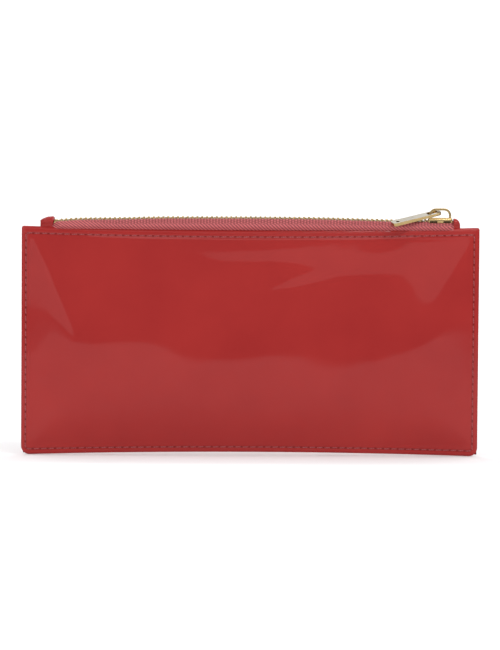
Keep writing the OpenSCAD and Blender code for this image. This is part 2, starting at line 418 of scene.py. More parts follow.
def per_metre(size_mm: float) -> float:
    """A texture's scale: how often a pattern of a size in millimetres fits in a metre."""
    return 1000 / size_mm


def add_node(material: Material, kind: str, settings: dict | None = None,
             inputs: dict | None = None) -> bpy.types.Node:
    """Add a node with its settings and links.

    Args:
        material: The material that gets the node.
        kind: The node's type.
        settings: Values of the node's own properties.
        inputs: Socket name or number to a value, or to (node, output name) for a link.

    Returns:
        The new node.
    """
    tree = material.node_tree
    node = tree.nodes.new(kind)
    for key, value in (settings or {}).items():
        setattr(node, key, value)
    for key, value in (inputs or {}).items():
        if isinstance(value, tuple) and isinstance(value[0], bpy.types.Node):
            tree.links.new(value[0].outputs[value[1]], node.inputs[key])
        else:
            node.inputs[key].default_value = value
    return node


@dataclass(frozen=True)
class Finish:
    """What every finish shares: its name, its empty material and the way it is closed."""

    name: str

    def start(self) -> tuple[Material, bpy.types.Node]:
        """Make the material.

        Returns:
            The material and the node that gives the coordinates.
        """
        material = bpy.data.materials.new(self.name)
        material.use_nodes = True
        material.node_tree.nodes.clear()
        return material, add_node(material, "ShaderNodeTexCoord")

    def close(self, material: Material, **inputs: object) -> Material:
        """Add the shader and link it to the output.

        Args:
            material: The material to finish.
            **inputs: The shader's inputs, with an underscore for each space in a name.

        Returns:
            The same material.
        """
        named = {key.replace("_", " "): value for key, value in inputs.items()}
        shader = add_node(material, "ShaderNodeBsdfPrincipled", inputs=named)
        add_node(material, "ShaderNodeOutputMaterial", inputs={"Surface": (shader, "BSDF")})
        return material


@dataclass(frozen=True)
class PatentLeather(Finish):
    """Calf leather under a poured polyurethane film: a wet gloss over a slightly cloudy red, with painted
    shade in the needle holes.
    """

    name: str = "patent_leather"
    colour: str = "#aa2f2b"
    cloud: str = "#952222"
    # painted shade: the dark of the needle holes along the stitch rows
    hole: str = "#6a1d1d"
    cloud_mm: float = 34.0
    film_ripple_mm: float = 16.0
    grain_mm: float = 0.55  # wider than real calf grain, so that it shows

    def build(self) -> Material:
        """Lay out the nodes.

        Returns:
            The finished material.
        """
        material, at = self.start()
        cloud = add_node(material, "ShaderNodeTexNoise", inputs={
            "Vector": (at, "Object"), "Scale": per_metre(self.cloud_mm), "Detail": 3.0})
        tint = add_node(material, "ShaderNodeMix", {"data_type": "RGBA"}, {
            0: (cloud, "Fac"), MIX_LOW: linear(self.cloud), MIX_HIGH: linear(self.colour)})
        # painted shade: the seam and along attributes darken the colour at each needle hole
        seam = add_node(material, "ShaderNodeAttribute", {"attribute_name": "seam"})
        along = add_node(material, "ShaderNodeAttribute", {"attribute_name": "along"})
        turns = add_node(material, "ShaderNodeMath", {"operation": "MULTIPLY"}, {
            0: (along, "Fac"), 1: 2 * math.pi})
        swing = add_node(material, "ShaderNodeMath", {"operation": "COSINE"}, {
            0: (turns, "Value")})
        spot = add_node(material, "ShaderNodeMapRange", {"interpolation_type": "SMOOTHSTEP"}, {
            "Value": (swing, "Value"), "From Min": 0.1, "From Max": 0.95, "To Min": 0.2,
            "To Max": 1.0})
        hole = add_node(material, "ShaderNodeMath", {"operation": "MULTIPLY"}, {
            0: (spot, "Result"), 1: (seam, "Fac")})
        skin = add_node(material, "ShaderNodeMix", {"data_type": "RGBA"}, {
            0: (hole, "Value"), MIX_LOW: (tint, MIX_OUT), MIX_HIGH: linear(self.hole)})
        ripple = add_node(material, "ShaderNodeTexNoise", inputs={
            "Vector": (at, "Object"), "Scale": per_metre(self.film_ripple_mm), "Detail": 1.0})
        grain = add_node(material, "ShaderNodeTexVoronoi", {"feature": "SMOOTH_F1"}, {
            "Vector": (at, "Object"), "Scale": per_metre(self.grain_mm)})
        low = add_node(material, "ShaderNodeBump", inputs={
            "Height": (ripple, "Fac"), "Strength": 0.1, "Distance": 0.0006})
        fine = add_node(material, "ShaderNodeBump", inputs={
            "Height": (grain, "Distance"), "Strength": 0.05, "Distance": 0.0001,
            "Normal": (low, "Normal")})
        return self.close(
            material, Base_Color=(skin, MIX_OUT), Roughness=0.42, IOR=1.45, Specular_IOR_Level=0.05,
            Coat_Weight=0.42, Coat_Roughness=0.035, Coat_IOR=1.5, Normal=(fine, "Normal"),
            Coat_Normal=(low, "Normal"))


@dataclass(frozen=True)
class PocketLeather(Finish):
    """Split leather with a printed grain, used for the pockets inside: satin, no film."""

    name: str = "pocket_leather"
    colour: str = "#9a302f"
    deep: str = "#872827"
    grain_mm: float = 1.1

    def build(self) -> Material:
        """Lay out the nodes.

        Returns:
            The finished material.
        """
        material, at = self.start()
        grain = add_node(material, "ShaderNodeTexVoronoi", {"feature": "DISTANCE_TO_EDGE"}, {
            "Vector": (at, "Object"), "Scale": per_metre(self.grain_mm)})
        tint = add_node(material, "ShaderNodeMix", {"data_type": "RGBA"}, {
            0: (grain, "Distance"), MIX_LOW: linear(self.deep), MIX_HIGH: linear(self.colour)})
        bump = add_node(material, "ShaderNodeBump", inputs={
            "Height": (grain, "Distance"), "Strength": 0.35, "Distance": 0.0002})
        return self.close(
            material, Base_Color=(tint, MIX_OUT), Roughness=0.5, Specular_IOR_Level=0.35,
            Normal=(bump, "Normal"))


@dataclass(frozen=True)
class WovenCloth(Finish):
    """Plain-woven polyester: crossing threads that shade each other, with a dry sheen."""

    name: str
    colour: str
    shade: str
    thread_mm: float  # wider than the real thread spacing, so that it shows
    sheen: float = 0.25

    def build(self) -> Material:
        """Lay out the nodes.

        Returns:
            The finished material.
        """
        material, at = self.start()
        bands = [
            add_node(material, "ShaderNodeTexWave", {"bands_direction": axis}, {
                "Vector": (at, "Object"), "Scale": per_metre(self.thread_mm) / WAVE_BANDS,
                "Distortion": 0.6, "Detail": 1.0})
            for axis in ("X", "Z")]
        weave = add_node(material, "ShaderNodeMath", {"operation": "MULTIPLY"}, {
            0: (bands[0], "Fac"), 1: (bands[1], "Fac")})
        tint = add_node(material, "ShaderNodeMix", {"data_type": "RGBA"}, {
            0: (weave, "Value"), MIX_LOW: linear(self.shade), MIX_HIGH: linear(self.colour)})
        bump = add_node(material, "ShaderNodeBump", inputs={
            "Height": (weave, "Value"), "Strength": 0.5, "Distance": 0.0002})
        return self.close(
            material, Base_Color=(tint, MIX_OUT), Roughness=0.8, Sheen_Weight=self.sheen,
            Sheen_Roughness=0.4, Specular_IOR_Level=0.2, Normal=(bump, "Normal"))


@dataclass(frozen=True)
class RibbedTape(Finish):
    """Warp-knitted zip tape: cords of polyester yarn, with painted shade where one dips under the next and
    a painted highlight on the raised cords.
    """

    name: str = "zip_tape"
    ridge: str = "#e07678"
    valley_shade: str = "#520f13"
    yarn_mm: float = 0.33
    speckle: float = 0.22

    def build(self) -> Material:
        """Lay out the nodes.

        Returns:
            The finished material.
        """
        material, at = self.start()
        rib = add_node(material, "ShaderNodeAttribute", {"attribute_name": "rib"})
        fuzz = add_node(material, "ShaderNodeTexNoise", inputs={
            "Vector": (at, "Object"), "Scale": per_metre(self.yarn_mm), "Detail": 2.0})
        speckle = add_node(material, "ShaderNodeMapRange", inputs={
            "Value": (fuzz, "Fac"), "To Min": -self.speckle, "To Max": self.speckle})
        height = add_node(material, "ShaderNodeMath", {"operation": "ADD", "use_clamp": True}, {
            0: (rib, "Fac"), 1: (speckle, "Result")})
        # painted shade and highlight: the colour follows the relief, light on the ridges and dark in the
        # valleys
        tint = add_node(material, "ShaderNodeMix", {"data_type": "RGBA"}, {
            0: (height, "Value"), MIX_LOW: linear(self.valley_shade), MIX_HIGH: linear(self.ridge)})
        bump = add_node(material, "ShaderNodeBump", inputs={
            "Height": (fuzz, "Fac"), "Strength": 0.4, "Distance": 0.0001})
        return self.close(
            material, Base_Color=(tint, MIX_OUT), Roughness=0.6, Sheen_Weight=0.3, Sheen_Roughness=0.35,
            Specular_IOR_Level=0.3, Normal=(bump, "Normal"))


@dataclass(frozen=True)
class Thread(Finish):
    """Waxed polyester sewing thread: two twisted plies with a soft shine, and painted shade between the
    plies.
    """

    name: str = "thread"
    colour: str = "#b04c4d"
    shade: str = "#7d2a2d"
    twist_mm: float = 0.5

    def build(self) -> Material:
        """Lay out the nodes.

        Returns:
            The finished material.
        """
        material, at = self.start()
        ply = add_node(material, "ShaderNodeTexWave", {"bands_direction": "DIAGONAL"}, {
            "Vector": (at, "Object"), "Scale": per_metre(self.twist_mm) / WAVE_BANDS})
        # painted shade: the twist's wave darkens the colour between the plies
        tint = add_node(material, "ShaderNodeMix", {"data_type": "RGBA"}, {
            0: (ply, "Fac"), MIX_LOW: linear(self.shade), MIX_HIGH: linear(self.colour)})
        bump = add_node(material, "ShaderNodeBump", inputs={
            "Height": (ply, "Fac"), "Strength": 0.3, "Distance": 0.0001})
        return self.close(
            material, Base_Color=(tint, MIX_OUT), Roughness=0.5, Sheen_Weight=0.2, Normal=(bump, "Normal"))


@dataclass(frozen=True)
class GoldPlate(Finish):
    """Die-cast zinc or pressed brass with a pale gold plating, tumbled and then polished; its copies also
    paint the reflection on the pull's top face and the shadow in the slider's slots.
    """

    name: str
    colour: str
    wear_and_shade: str
    roughness: float
    cloud_mm: float = 3.0
    scratch_mm: float = 0.25  # coarser than real polishing marks, so that they show
    gloss_range: tuple[float, float] = (0.75, 1.35)

    def build(self) -> Material:
        """Lay out the nodes.

        Returns:
            The finished material.
        """
        material, at = self.start()
        cloud = add_node(material, "ShaderNodeTexNoise", inputs={
            "Vector": (at, "Object"), "Scale": per_metre(self.cloud_mm), "Detail": 4.0})
        # the cloud mixes in a worn tone on the plating, a darker tone of the painted reflection on the
        # pull's top face, and a darker tone of the painted shadow in the slider's slots
        tint = add_node(material, "ShaderNodeMix", {"data_type": "RGBA"}, {
            0: (cloud, "Fac"), MIX_LOW: linear(self.wear_and_shade), MIX_HIGH: linear(self.colour)})
        gloss = add_node(material, "ShaderNodeMapRange", inputs={
            "Value": (cloud, "Fac"), "To Min": self.roughness * self.gloss_range[0],
            "To Max": self.roughness * self.gloss_range[1]})
        scratch = add_node(material, "ShaderNodeTexNoise", inputs={
            "Vector": (at, "Object"), "Scale": per_metre(self.scratch_mm), "Detail": 1.0})
        bump = add_node(material, "ShaderNodeBump", inputs={
            "Height": (scratch, "Fac"), "Strength": 0.06, "Distance": 0.0001})
        return self.close(
            material, Base_Color=(tint, MIX_OUT), Metallic=1.0, Roughness=(gloss, "Result"),
            Normal=(bump, "Normal"))


@dataclass(frozen=True)
class FibreBoard(Finish):
    """Bonded leather board: ground fibres pressed into a dull buff sheet."""

    name: str = "stiffener_board"
    colour: str = "#8f8474"
    fleck: str = "#6f6455"
    fibre_mm: float = 1.5

    def build(self) -> Material:
        """Lay out the nodes.

        Returns:
            The finished material.
        """
        material, at = self.start()
        fibre = add_node(material, "ShaderNodeTexNoise", inputs={
            "Vector": (at, "Object"), "Scale": per_metre(self.fibre_mm), "Detail": 6.0,
            "Distortion": 1.5})
        tint = add_node(material, "ShaderNodeMix", {"data_type": "RGBA"}, {
            0: (fibre, "Fac"), MIX_LOW: linear(self.fleck), MIX_HIGH: linear(self.colour)})
        return self.close(material, Base_Color=(tint, MIX_OUT), Roughness=0.9, Specular_IOR_Level=0.2)


@dataclass(frozen=True)
class StagePaper(Finish):
    """Matt white background paper, with the faintest mottling."""

    name: str = "stage_paper"
    colour: str = "#fbfbfb"
    mottle: str = "#f7f7f7"

    def build(self) -> Material:
        """Lay out the nodes.

        Returns:
            The finished material.
        """
        material, at = self.start()
        mottle = add_node(material, "ShaderNodeTexNoise", inputs={
            "Vector": (at, "Object"), "Scale": 6.0, "Detail": 2.0})
        tint = add_node(material, "ShaderNodeMix", {"data_type": "RGBA"}, {
            0: (mottle, "Fac"), MIX_LOW: linear(self.mottle), MIX_HIGH: linear(self.colour)})
        return self.close(material, Base_Color=(tint, MIX_OUT), Roughness=1.0, Specular_IOR_Level=0.0)


class Finishes:
    """The materials, each made once, under the names of the record's slots."""

    def __init__(self) -> None:
        """Build every material."""
        kinds = [
            PatentLeather(), PocketLeather(), RibbedTape(), Thread(), FibreBoard(),
            WovenCloth("lining_cloth", "#8f3333", "#6a2022", thread_mm=0.45),
            GoldPlate("gold_metal", "#c9ae7c", "#a58a5b", roughness=0.22),
        ]
        self.made = {kind.name: kind.build() for kind in kinds}
        # painted reflection: a paler, greyer copy of the gold for the pull's top face, standing for the
        # white light it mirrors
        self.pull_top_reflection_metal = GoldPlate(
            "pull_top_painted_reflection", "#ada698", "#9e9687", roughness=0.3, cloud_mm=8.0).build()
        # painted shadow: a near-black copy of the metal for the sheets seen through the slider's slots
        self.slot_shadow_metal = GoldPlate(
            "slider_slot_shadow", "#2b2521", "#191613", roughness=0.5).build()
        self.paper = StagePaper().build()

    def dress(self, obj: Object, slot: str, material: Material | None = None) -> Object:
        """Give a piece its material and its slot.

        Args:
            obj: The piece.
            slot: The record's material slot.
            material: Another material for that slot, if it has its own.

        Returns:
            The same piece.
        """
        obj.data.materials.clear()
        obj.data.materials.append(material or self.made[slot])
        return obj


# ---- the wallet's form ------------------------------------------------------


@dataclass(frozen=True)
class WalletForm:
    """The outer surface that all sheets of the wallet follow, in metres.

    Its size comes from the frame. half() gives half of the thickness at a place. Each swell
    holds its height, its lengths along X and Z and its start. The ridge runs along the width
    and sways. Each fold holds its height, place, lean, width, middle and length. Swells, ridge
    and folds are in millimetres, and starts are in radians.
    """

    half_w: float
    height: float
    bulge: float
    rim: float = 1.7 * MM
    sag: float = 1.5 * MM
    bottom_r: float = 3.8 * MM
    top_r: float = 1.1 * MM
    crown_z: float = 34 * MM
    flat_w: float = 66 * MM
    rim_w: float = 3.5 * MM
    blur: float = 0.25 * MM
    crown: float = 0.2 * MM
    stiff_w: float = 4 * MM
    free_w: float = 16 * MM
    wave_h: float = 0.8 * MM
    swells: tuple[tuple[float, ...], ...] = ((0.16, 26.0, 15.0, 0.0), (0.10, 11.0, -7.5, 1.3))
    ridge_h: float = 0.20
    ridge_l: float = 8.5
    ridge_start: float = 2.0
    sway: float = 0.6
    sway_l: float = 37.0
    sway_start: float = 0.8
    rear_start: float = 2.1
    corner_lean: float = -0.5 * MM
    folds: tuple[tuple[float, ...], ...] = (
        (0.07, -73.0, 0.10, 4.0, 66.0, 20.0), (-0.10, -80.0, -0.05, 3.5, 80.0, 9.0),
        (0.10, -84.0, 0.0, 2.6, 88.0, 4.0), (0.14, 20.0, 2.2, 9.0, 74.0, 5.0),
        (-0.10, -20.0, -1.6, 10.0, 62.0, 5.0))

    def arc(self, run: float) -> float:
        """The radius of an arc that falls from the crown to the rim.

        Args:
            run: The distance over which it falls.

        Returns:
            The radius.
        """
        rise = self.bulge - self.rim + self.crown
        return (run ** 2 + rise ** 2) / (2 * rise)

    def half(self, x: np.ndarray, z: np.ndarray) -> np.ndarray:
        """Half of the thickness.

        Args:
            x: Places along the width.
            z: Heights.

        Returns:
            The surface's distance from the middle plane.
        """
        crown = self.bulge + self.crown
        run_down = self.crown_z - self.sag - self.rim_w
        run_up = self.height - self.sag - self.rim_w - self.crown_z
        tall = np.where(z > self.crown_z, self.arc(run_up), self.arc(run_down))
        wide = self.arc(self.half_w - self.rim_w - self.flat_w)
        by_z = crown - tall + np.sqrt(np.maximum(tall ** 2 - (z - self.crown_z) ** 2, 0))
        past = np.clip(np.abs(x) - self.flat_w, 0, self.half_w - self.rim_w - self.flat_w)
        by_x = crown - wide + np.sqrt(np.maximum(wide ** 2 - past ** 2, 0))
        k = self.blur
        top = -k * np.log(np.exp(-by_z / k) + np.exp(-by_x / k) + np.exp(-self.bulge / k))
        return self.rim + k * np.log1p(np.exp((top - self.rim) / k)) - k * math.log(2) * np.exp(
            -np.maximum(top - self.rim, 0) / k)

    def waves(self, x: np.ndarray, z: np.ndarray, side: Side) -> np.ndarray:
        """The slow unevenness of leather that is only held at its edges.

        Args:
            x: Places along the width.
            z: Heights.
            side: The half of the wallet.

        Returns:
            How far the surface stands out, which is 0 at the sewn edges.
        """
        inner = np.minimum(np.minimum(self.half_w - np.abs(x), z), self.height - z)
        free = ease((inner - self.stiff_w) / self.free_w)
        u, v = x / MM, z / MM
        turn = 0.0 if side is Side.FRONT else self.rear_start
        low = sum(high * np.sin(u / across + v / up + start + turn)
                  for high, across, up, start in self.swells)
        sway = self.sway * np.sin(u / self.sway_l + self.sway_start)
        long = self.ridge_h * np.sin(v / self.ridge_l + sway + self.ridge_start + turn)
        folds = sum(
            height * np.exp(-((u - at - lean * (v - mid)) / wide) ** 2 - ((v - mid) / tall) ** 2)
            for height, at, lean, wide, mid, tall in self.folds)
        return (low + long) * self.wave_h * free + folds * MM * (side is Side.FRONT)

    def outline(self, x: np.ndarray, z: np.ndarray) -> tuple[np.ndarray, np.ndarray]:
        """Turn places in the plain rectangle to places inside the real outline.

        Args:
            x: Places along the width of the rectangle.
            z: Heights in the rectangle.

        Returns:
            The places with rounded corners and bowed edges.
        """
        x, z = np.array(x, float), np.array(z, float)
        for sign in (-1, 1):
            for at_top, radius in ((False, self.bottom_r), (True, self.top_r)):
                cx = sign * (self.half_w - radius)
                cz = self.height - radius if at_top else radius
                a = (x - cx) * sign / radius
                b = (z - cz) * (1 if at_top else -1) / radius
                inside = (a > 0) & (b > 0)
                length = np.hypot(a, b)
                pull = np.where(inside, np.maximum(a, b) / np.where(length > 0, length, 1), 1)
                x = np.where(inside, cx + (x - cx) * pull, x)
                z = np.where(inside, cz + (z - cz) * pull, z)
        bow = self.sag * (x / self.half_w) ** 2
        low, high = self.sag - bow, self.height - self.sag + bow
        z = low + (high - low) * z / self.height
        lean = np.where(x > 0, self.corner_lean * (1 - z / self.height), 0.0)
        return x + lean * np.abs(x) / self.half_w, z


@dataclass(frozen=True)
class MouthPlan:
    """Where the front half's sheets are cut into a left and a right piece; nothing here bends them when
    the mouth opens.

    The stretch left of the open slider and the right end stay closed.
    """

    seam_x: float = 10 * MM
    left: tuple[float, float] = (-58 * MM, 4 * MM)
    right: tuple[float, float] = (93 * MM, 18 * MM)

    def bend(self, obj: Object) -> Object:
        """Put a finished piece of one half of the front into its mesh where it lies; nothing blends it
        from the rear half to the front.

        Args:
            obj: A piece that lies left or right of the seam.

        Returns:
            The same piece.
        """
        middle = read_points(obj)[:, 0].mean()
        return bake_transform(obj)

    def halves(self, obj: Object, name: str) -> list[Object]:
        """Cut a closed piece at the seam into a left and a right piece.

        Args:
            obj: The whole piece, which is used up.
            name: The start of the two names.

        Returns:
            The left and the right piece.
        """
        parts = []
        for word in ("left", "right"):
            part = obj.copy()
            part.data = obj.data.copy()
            bpy.context.scene.collection.objects.link(part)
            only(part)
            bpy.ops.object.mode_set(mode="EDIT")
            bpy.ops.mesh.select_all(action="SELECT")
            bpy.ops.mesh.bisect(plane_co=(self.seam_x, 0, 0), plane_no=(1, 0, 0),
                                clear_outer=word == "left", clear_inner=word == "right")
            bpy.ops.mesh.select_all(action="DESELECT")
            bpy.ops.mesh.select_non_manifold()
            bpy.ops.mesh.edge_face_add()
            bpy.ops.object.mode_set(mode="OBJECT")
            part.name = f"{name}_{word}"
            part.data.name = part.name
            parts.append(part)
        bpy.data.objects.remove(obj, do_unlink=True)
        return parts


@dataclass
class Assembly:
    """What every sub-assembly shares: the form, the finishes and the way pieces ride."""

    form: WalletForm
    finishes: Finishes
    mouth: MouthPlan

    def settle_on(self, obj: Object, side: Side, node: str) -> Object:
        """Let a rear piece ride with its half, keep a front piece where it lies, and let it stand for its
        node.

        Args:
            obj: The dressed piece.
            side: Its half of the wallet.
            node: The frame's node that it stands for.

        Returns:
            The same piece.
        """
        if side is Side.REAR:
            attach(obj, Body.REAR.value)
        else:
            self.mouth.bend(obj)
        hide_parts(node)
        LOG.info("%s: %d faces", obj.name, len(obj.data.polygons))
        return obj

    def place(self, obj: Object, side: Side, node: str, slot: str,
              degrees: float = 35.0) -> list[Object]:
        """Dress a sheet, let a rear sheet ride with its half, cut a front sheet at the seam and let it
        stand for its node.

        Args:
            obj: A closed piece that runs over the whole width.
            side: Its half of the wallet.
            node: The frame's node that it stands for.
            slot: Its material slot.
            degrees: Edges sharper than this stay sharp.

        Returns:
            The pieces that were placed.
        """
        self.finishes.dress(obj, slot)
        if side is Side.REAR:
            parts = [obj]
            obj.name = f"{node}_skin"
        else:
            parts = self.mouth.halves(obj, node)
        for part in parts:
            smooth(part, degrees)
            self.settle_on(part, side, node)
        return parts


@dataclass(frozen=True)
class SheetSize:
    """Where one sheet of a half lies: its depth under the surface and its edges."""

    depth: float
    thick: float
    low: float
    high: float
    half_w: float
    fine: int = 4
    coarse: float = 3.0 * MM


@dataclass
class Skins(Assembly):
    """The outer panels and the flat sheets inside each half."""

    edge_steps: int = 16
    edge_band: float = 6 * MM
    step: float = 1.25 * MM

    roll_w: float = 1.3 * MM
    roll_h: float = 0.55 * MM
    band_drop: float = 0.26 * MM
    band_w: float = 3.0 * MM
    leather: float = 0.9 * MM
    hem: float = 0.38 * MM
    hem_w: float = 7 * MM
    pitch: float = 3.25 * MM
    mark_w: float = 0.4 * MM
    groove: float = 0.14 * MM
    groove_w: float = 0.55 * MM
    plain_top: float = 11 * MM
    insets: dict[str, float] = field(default_factory=lambda: {
        "left": 1.9 * MM, "right": 2.3 * MM, "low": 2.3 * MM, "top": 3.1 * MM})
    board: SheetSize = SheetSize(0.9 * MM, 0.4 * MM, 7 * MM, 88 * MM, 93 * MM)
    lining: SheetSize = SheetSize(1.3 * MM, 0.35 * MM, 0.8 * MM, 97.9 * MM, 99.2 * MM, 6, 2 * MM)
    slip: SheetSize = SheetSize(1.65 * MM, 0.5 * MM, 12 * MM, 78 * MM, 93.5 * MM)
    tier_step: float = 0.5 * MM
    hem_step: float = 0.6 * MM
    sheet_bands: tuple[float, float] = (3 * MM, 2 * MM)
    sheet_edge: float = 0.14 * MM
    edge_share: float = 0.3
    firm_share: float = 0.96
    sharp: float = 50.0
    clear_low: float = 0.7 * MM
    slack: float = 1.004

    def gaps(self, x: np.ndarray, z: np.ndarray) -> dict[str, np.ndarray]:
        """The distances from the four edges of the plain rectangle.

        Args:
            x: Places along the width.
            z: Heights.

        Returns:
            The distances from the left, the right, the low and the top edge.
        """
        return {"left": x + self.form.half_w, "right": self.form.half_w - x, "low": z,
                "top": self.form.height - z}

    def stitch_groove(self, x: np.ndarray, z: np.ndarray) -> np.ndarray:
        """How deep the thread pulls the leather in.

        Args:
            x: Places along the width of the plain rectangle.
            z: Heights in it.

        Returns:
            The depths.
        """
        gaps = self.gaps(x, z)
        deep = np.zeros_like(x)
        for edge, gap in gaps.items():
            others = [gaps[o] - self.insets[o] for o in gaps if o != edge]
            outside = np.maximum(-np.minimum.reduce(others), 0)
            reach = np.hypot(gap - self.insets[edge], outside)
            deep = np.maximum(deep, np.exp(-((reach / self.groove_w) ** 2)))
        return self.groove * deep

    def seam_marks(self, x: np.ndarray, z: np.ndarray) -> tuple[np.ndarray, np.ndarray]:
        """Where the needle went in.

        Args:
            x: Places along the width of the plain rectangle.
            z: Heights in it.

        Returns:
            The nearness to a row of stitches, and the place along it in stitches.
        """
        form = self.form
        near = {edge: np.abs(gap - self.insets[edge]) for edge, gap in self.gaps(x, z).items()}
        flat_row = np.minimum(near["low"], near["top"])
        upright_row = np.minimum(near["left"], near["right"])
        left, low = self.insets["left"] - form.half_w, self.insets["low"]
        wide = form.half_w - self.insets["right"] - left
        tall = form.height - self.insets["top"] - low
        along_flat = (x - left) / wide * round(wide / self.pitch)
        along_up = (z - low) / tall * round(tall / self.pitch)
        along = np.where(flat_row < upright_row, along_flat, along_up)
        inside = (x > left - self.mark_w) & (x < left + wide + self.mark_w) & (
            z > low - self.mark_w) & (z < low + tall + self.mark_w)
        reach = np.minimum(flat_row, upright_row)
        return np.exp(-((reach / self.mark_w) ** 2)) * inside, along

    def panel_surface(self, x: np.ndarray, z: np.ndarray, side: Side) -> np.ndarray:
        """The outer surface, with its edges turned in.

        Args:
            x: Places along the width of the plain rectangle.
            z: Heights in it.
            side: The half of the wallet.

        Returns:
            Its distance from the middle plane.
        """
        form = self.form
        edge = np.minimum(np.minimum(form.half_w - np.abs(x), z), form.height - z)
        roll = np.clip(1 - edge / self.roll_w, 0, 1)
        drop = self.roll_h * (1 - np.sqrt(1 - roll ** 2))
        band = self.band_drop * np.clip(1 - edge / self.band_w, 0, 1) ** 2
        real_x, real_z = form.outline(x, z)
        high = form.half(real_x, real_z) + form.waves(x, z, side)
        return high - drop - band - self.stitch_groove(x, z)

    def panel(self, side: Side) -> None:
        """Make one outer panel, a leather sheet with its edges turned in, and lay it on its half.

        Args:
            side: The half of the wallet.
        """
        form = self.form
        xs = graded(-form.half_w, form.half_w, self.edge_steps, self.edge_band, self.step)
        zs = graded(0.0, form.height, self.edge_steps, self.edge_band, self.step)

        def lay(x: np.ndarray, z: np.ndarray) -> np.ndarray:
            """The outer surface's points.

            Args:
                x: Places along the width of the plain rectangle.
                z: Heights in it.

            Returns:
                The points, n by 3.
            """
            real_x, real_z = form.outline(x, z)
            return np.stack([real_x, side.value * self.panel_surface(x, z, side), real_z], 1)

        obj = grid_sheet(f"{side.word}_panel_work", xs, zs, lay)
        outer = read_points(obj)
        seam = grid_values(xs, zs, obj, lambda x, z: self.seam_marks(x, z)[0])
        along = grid_values(xs, zs, obj, lambda x, z: self.seam_marks(x, z)[1])
        modify(obj, "SOLIDIFY", thickness=self.leather, offset=1 if side is Side.FRONT else -1)
        at_x, at_z = outer[:, 0], outer[:, 2]
        gap = np.minimum(np.minimum(form.half_w - np.abs(at_x), at_z), form.height - at_z)
        hem = self.hem * ease((self.hem_w - gap) / self.hem_step) * (
            at_z < form.height - self.plain_top)
        depth = form.half(at_x, at_z) + form.waves(at_x, at_z, side) - self.leather - hem
        inner = outer.copy()
        inner[:, 1] = side.value * depth
        write_points(obj, np.concatenate([outer, inner]))
        # the seam and along values mask the painted shade of the needle holes in the leather's colour
        put_values(obj, "seam", np.concatenate([seam, seam * 0]))
        put_values(obj, "along", np.concatenate([along, along]))
        tidy_mesh(obj)
        self.place(obj, side, f"{side.word}_panel", "patent_leather", self.sharp)

    def sheet(self, size: SheetSize, side: Side, node: str, slot: str) -> list[Object]:
        """Make one flat sheet under the panel and lay it on its half.

        Args:
            size: Where the sheet lies.
            side: Its half of the wallet.
            node: The frame's node that it stands for.
            slot: Its material slot.

        Returns:
            The pieces that were placed.
        """
        form = self.form
        side_band, end_band = self.sheet_bands
        xs = graded(-size.half_w, size.half_w, size.fine, side_band, size.coarse)
        zs = graded(size.low, size.high, size.fine, end_band, size.coarse)

        def lay(x: np.ndarray, z: np.ndarray) -> np.ndarray:
            """The middle of the sheet.

            Args:
                x: Places along the width.
                z: Heights, which stay clear of the bowed lower edge.

            Returns:
                The points, n by 3.
            """
            bow = form.sag * (x / form.half_w) ** 2
            low = np.maximum(z, form.sag - bow + self.clear_low)
            y = form.half(x, low) + form.waves(x, low, side) - size.depth - size.thick / 2
            return np.stack([x, side.value * y, low], 1)

        obj = grid_sheet(f"{node}_work", xs, zs, lay)
        modify(obj, "SOLIDIFY", thickness=size.thick * self.firm_share, offset=0)
        tidy_mesh(obj)
        soften(obj, min(self.sheet_edge, size.thick * self.edge_share), 2, self.sharp)
        return self.place(obj, side, node, slot)

    def build(self) -> None:
        """Make both panels and all sheets inside them."""
        for side in Side:
            self.panel(side)
            self.sheet(self.board, side, f"{side.word}_stiffener", "stiffener_board")
            for part in self.sheet(self.lining, side, f"{side.word}_lining", "lining_cloth"):
                points = read_points(part)
        pocket_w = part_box("card_slot_top")[1][0]
        slip = replace(self.slip, half_w=pocket_w)
        self.sheet(slip, Side.FRONT, "front_slip_pocket", "lining_cloth")
        for level, word in enumerate(("top", "middle", "bottom")):
            node = f"card_slot_{word}"
            low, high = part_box(node)
            tier = replace(slip, depth=slip.depth + level * self.tier_step, low=low[2],
                           high=high[2])
            self.sheet(tier, Side.REAR, node, "pocket_leather")


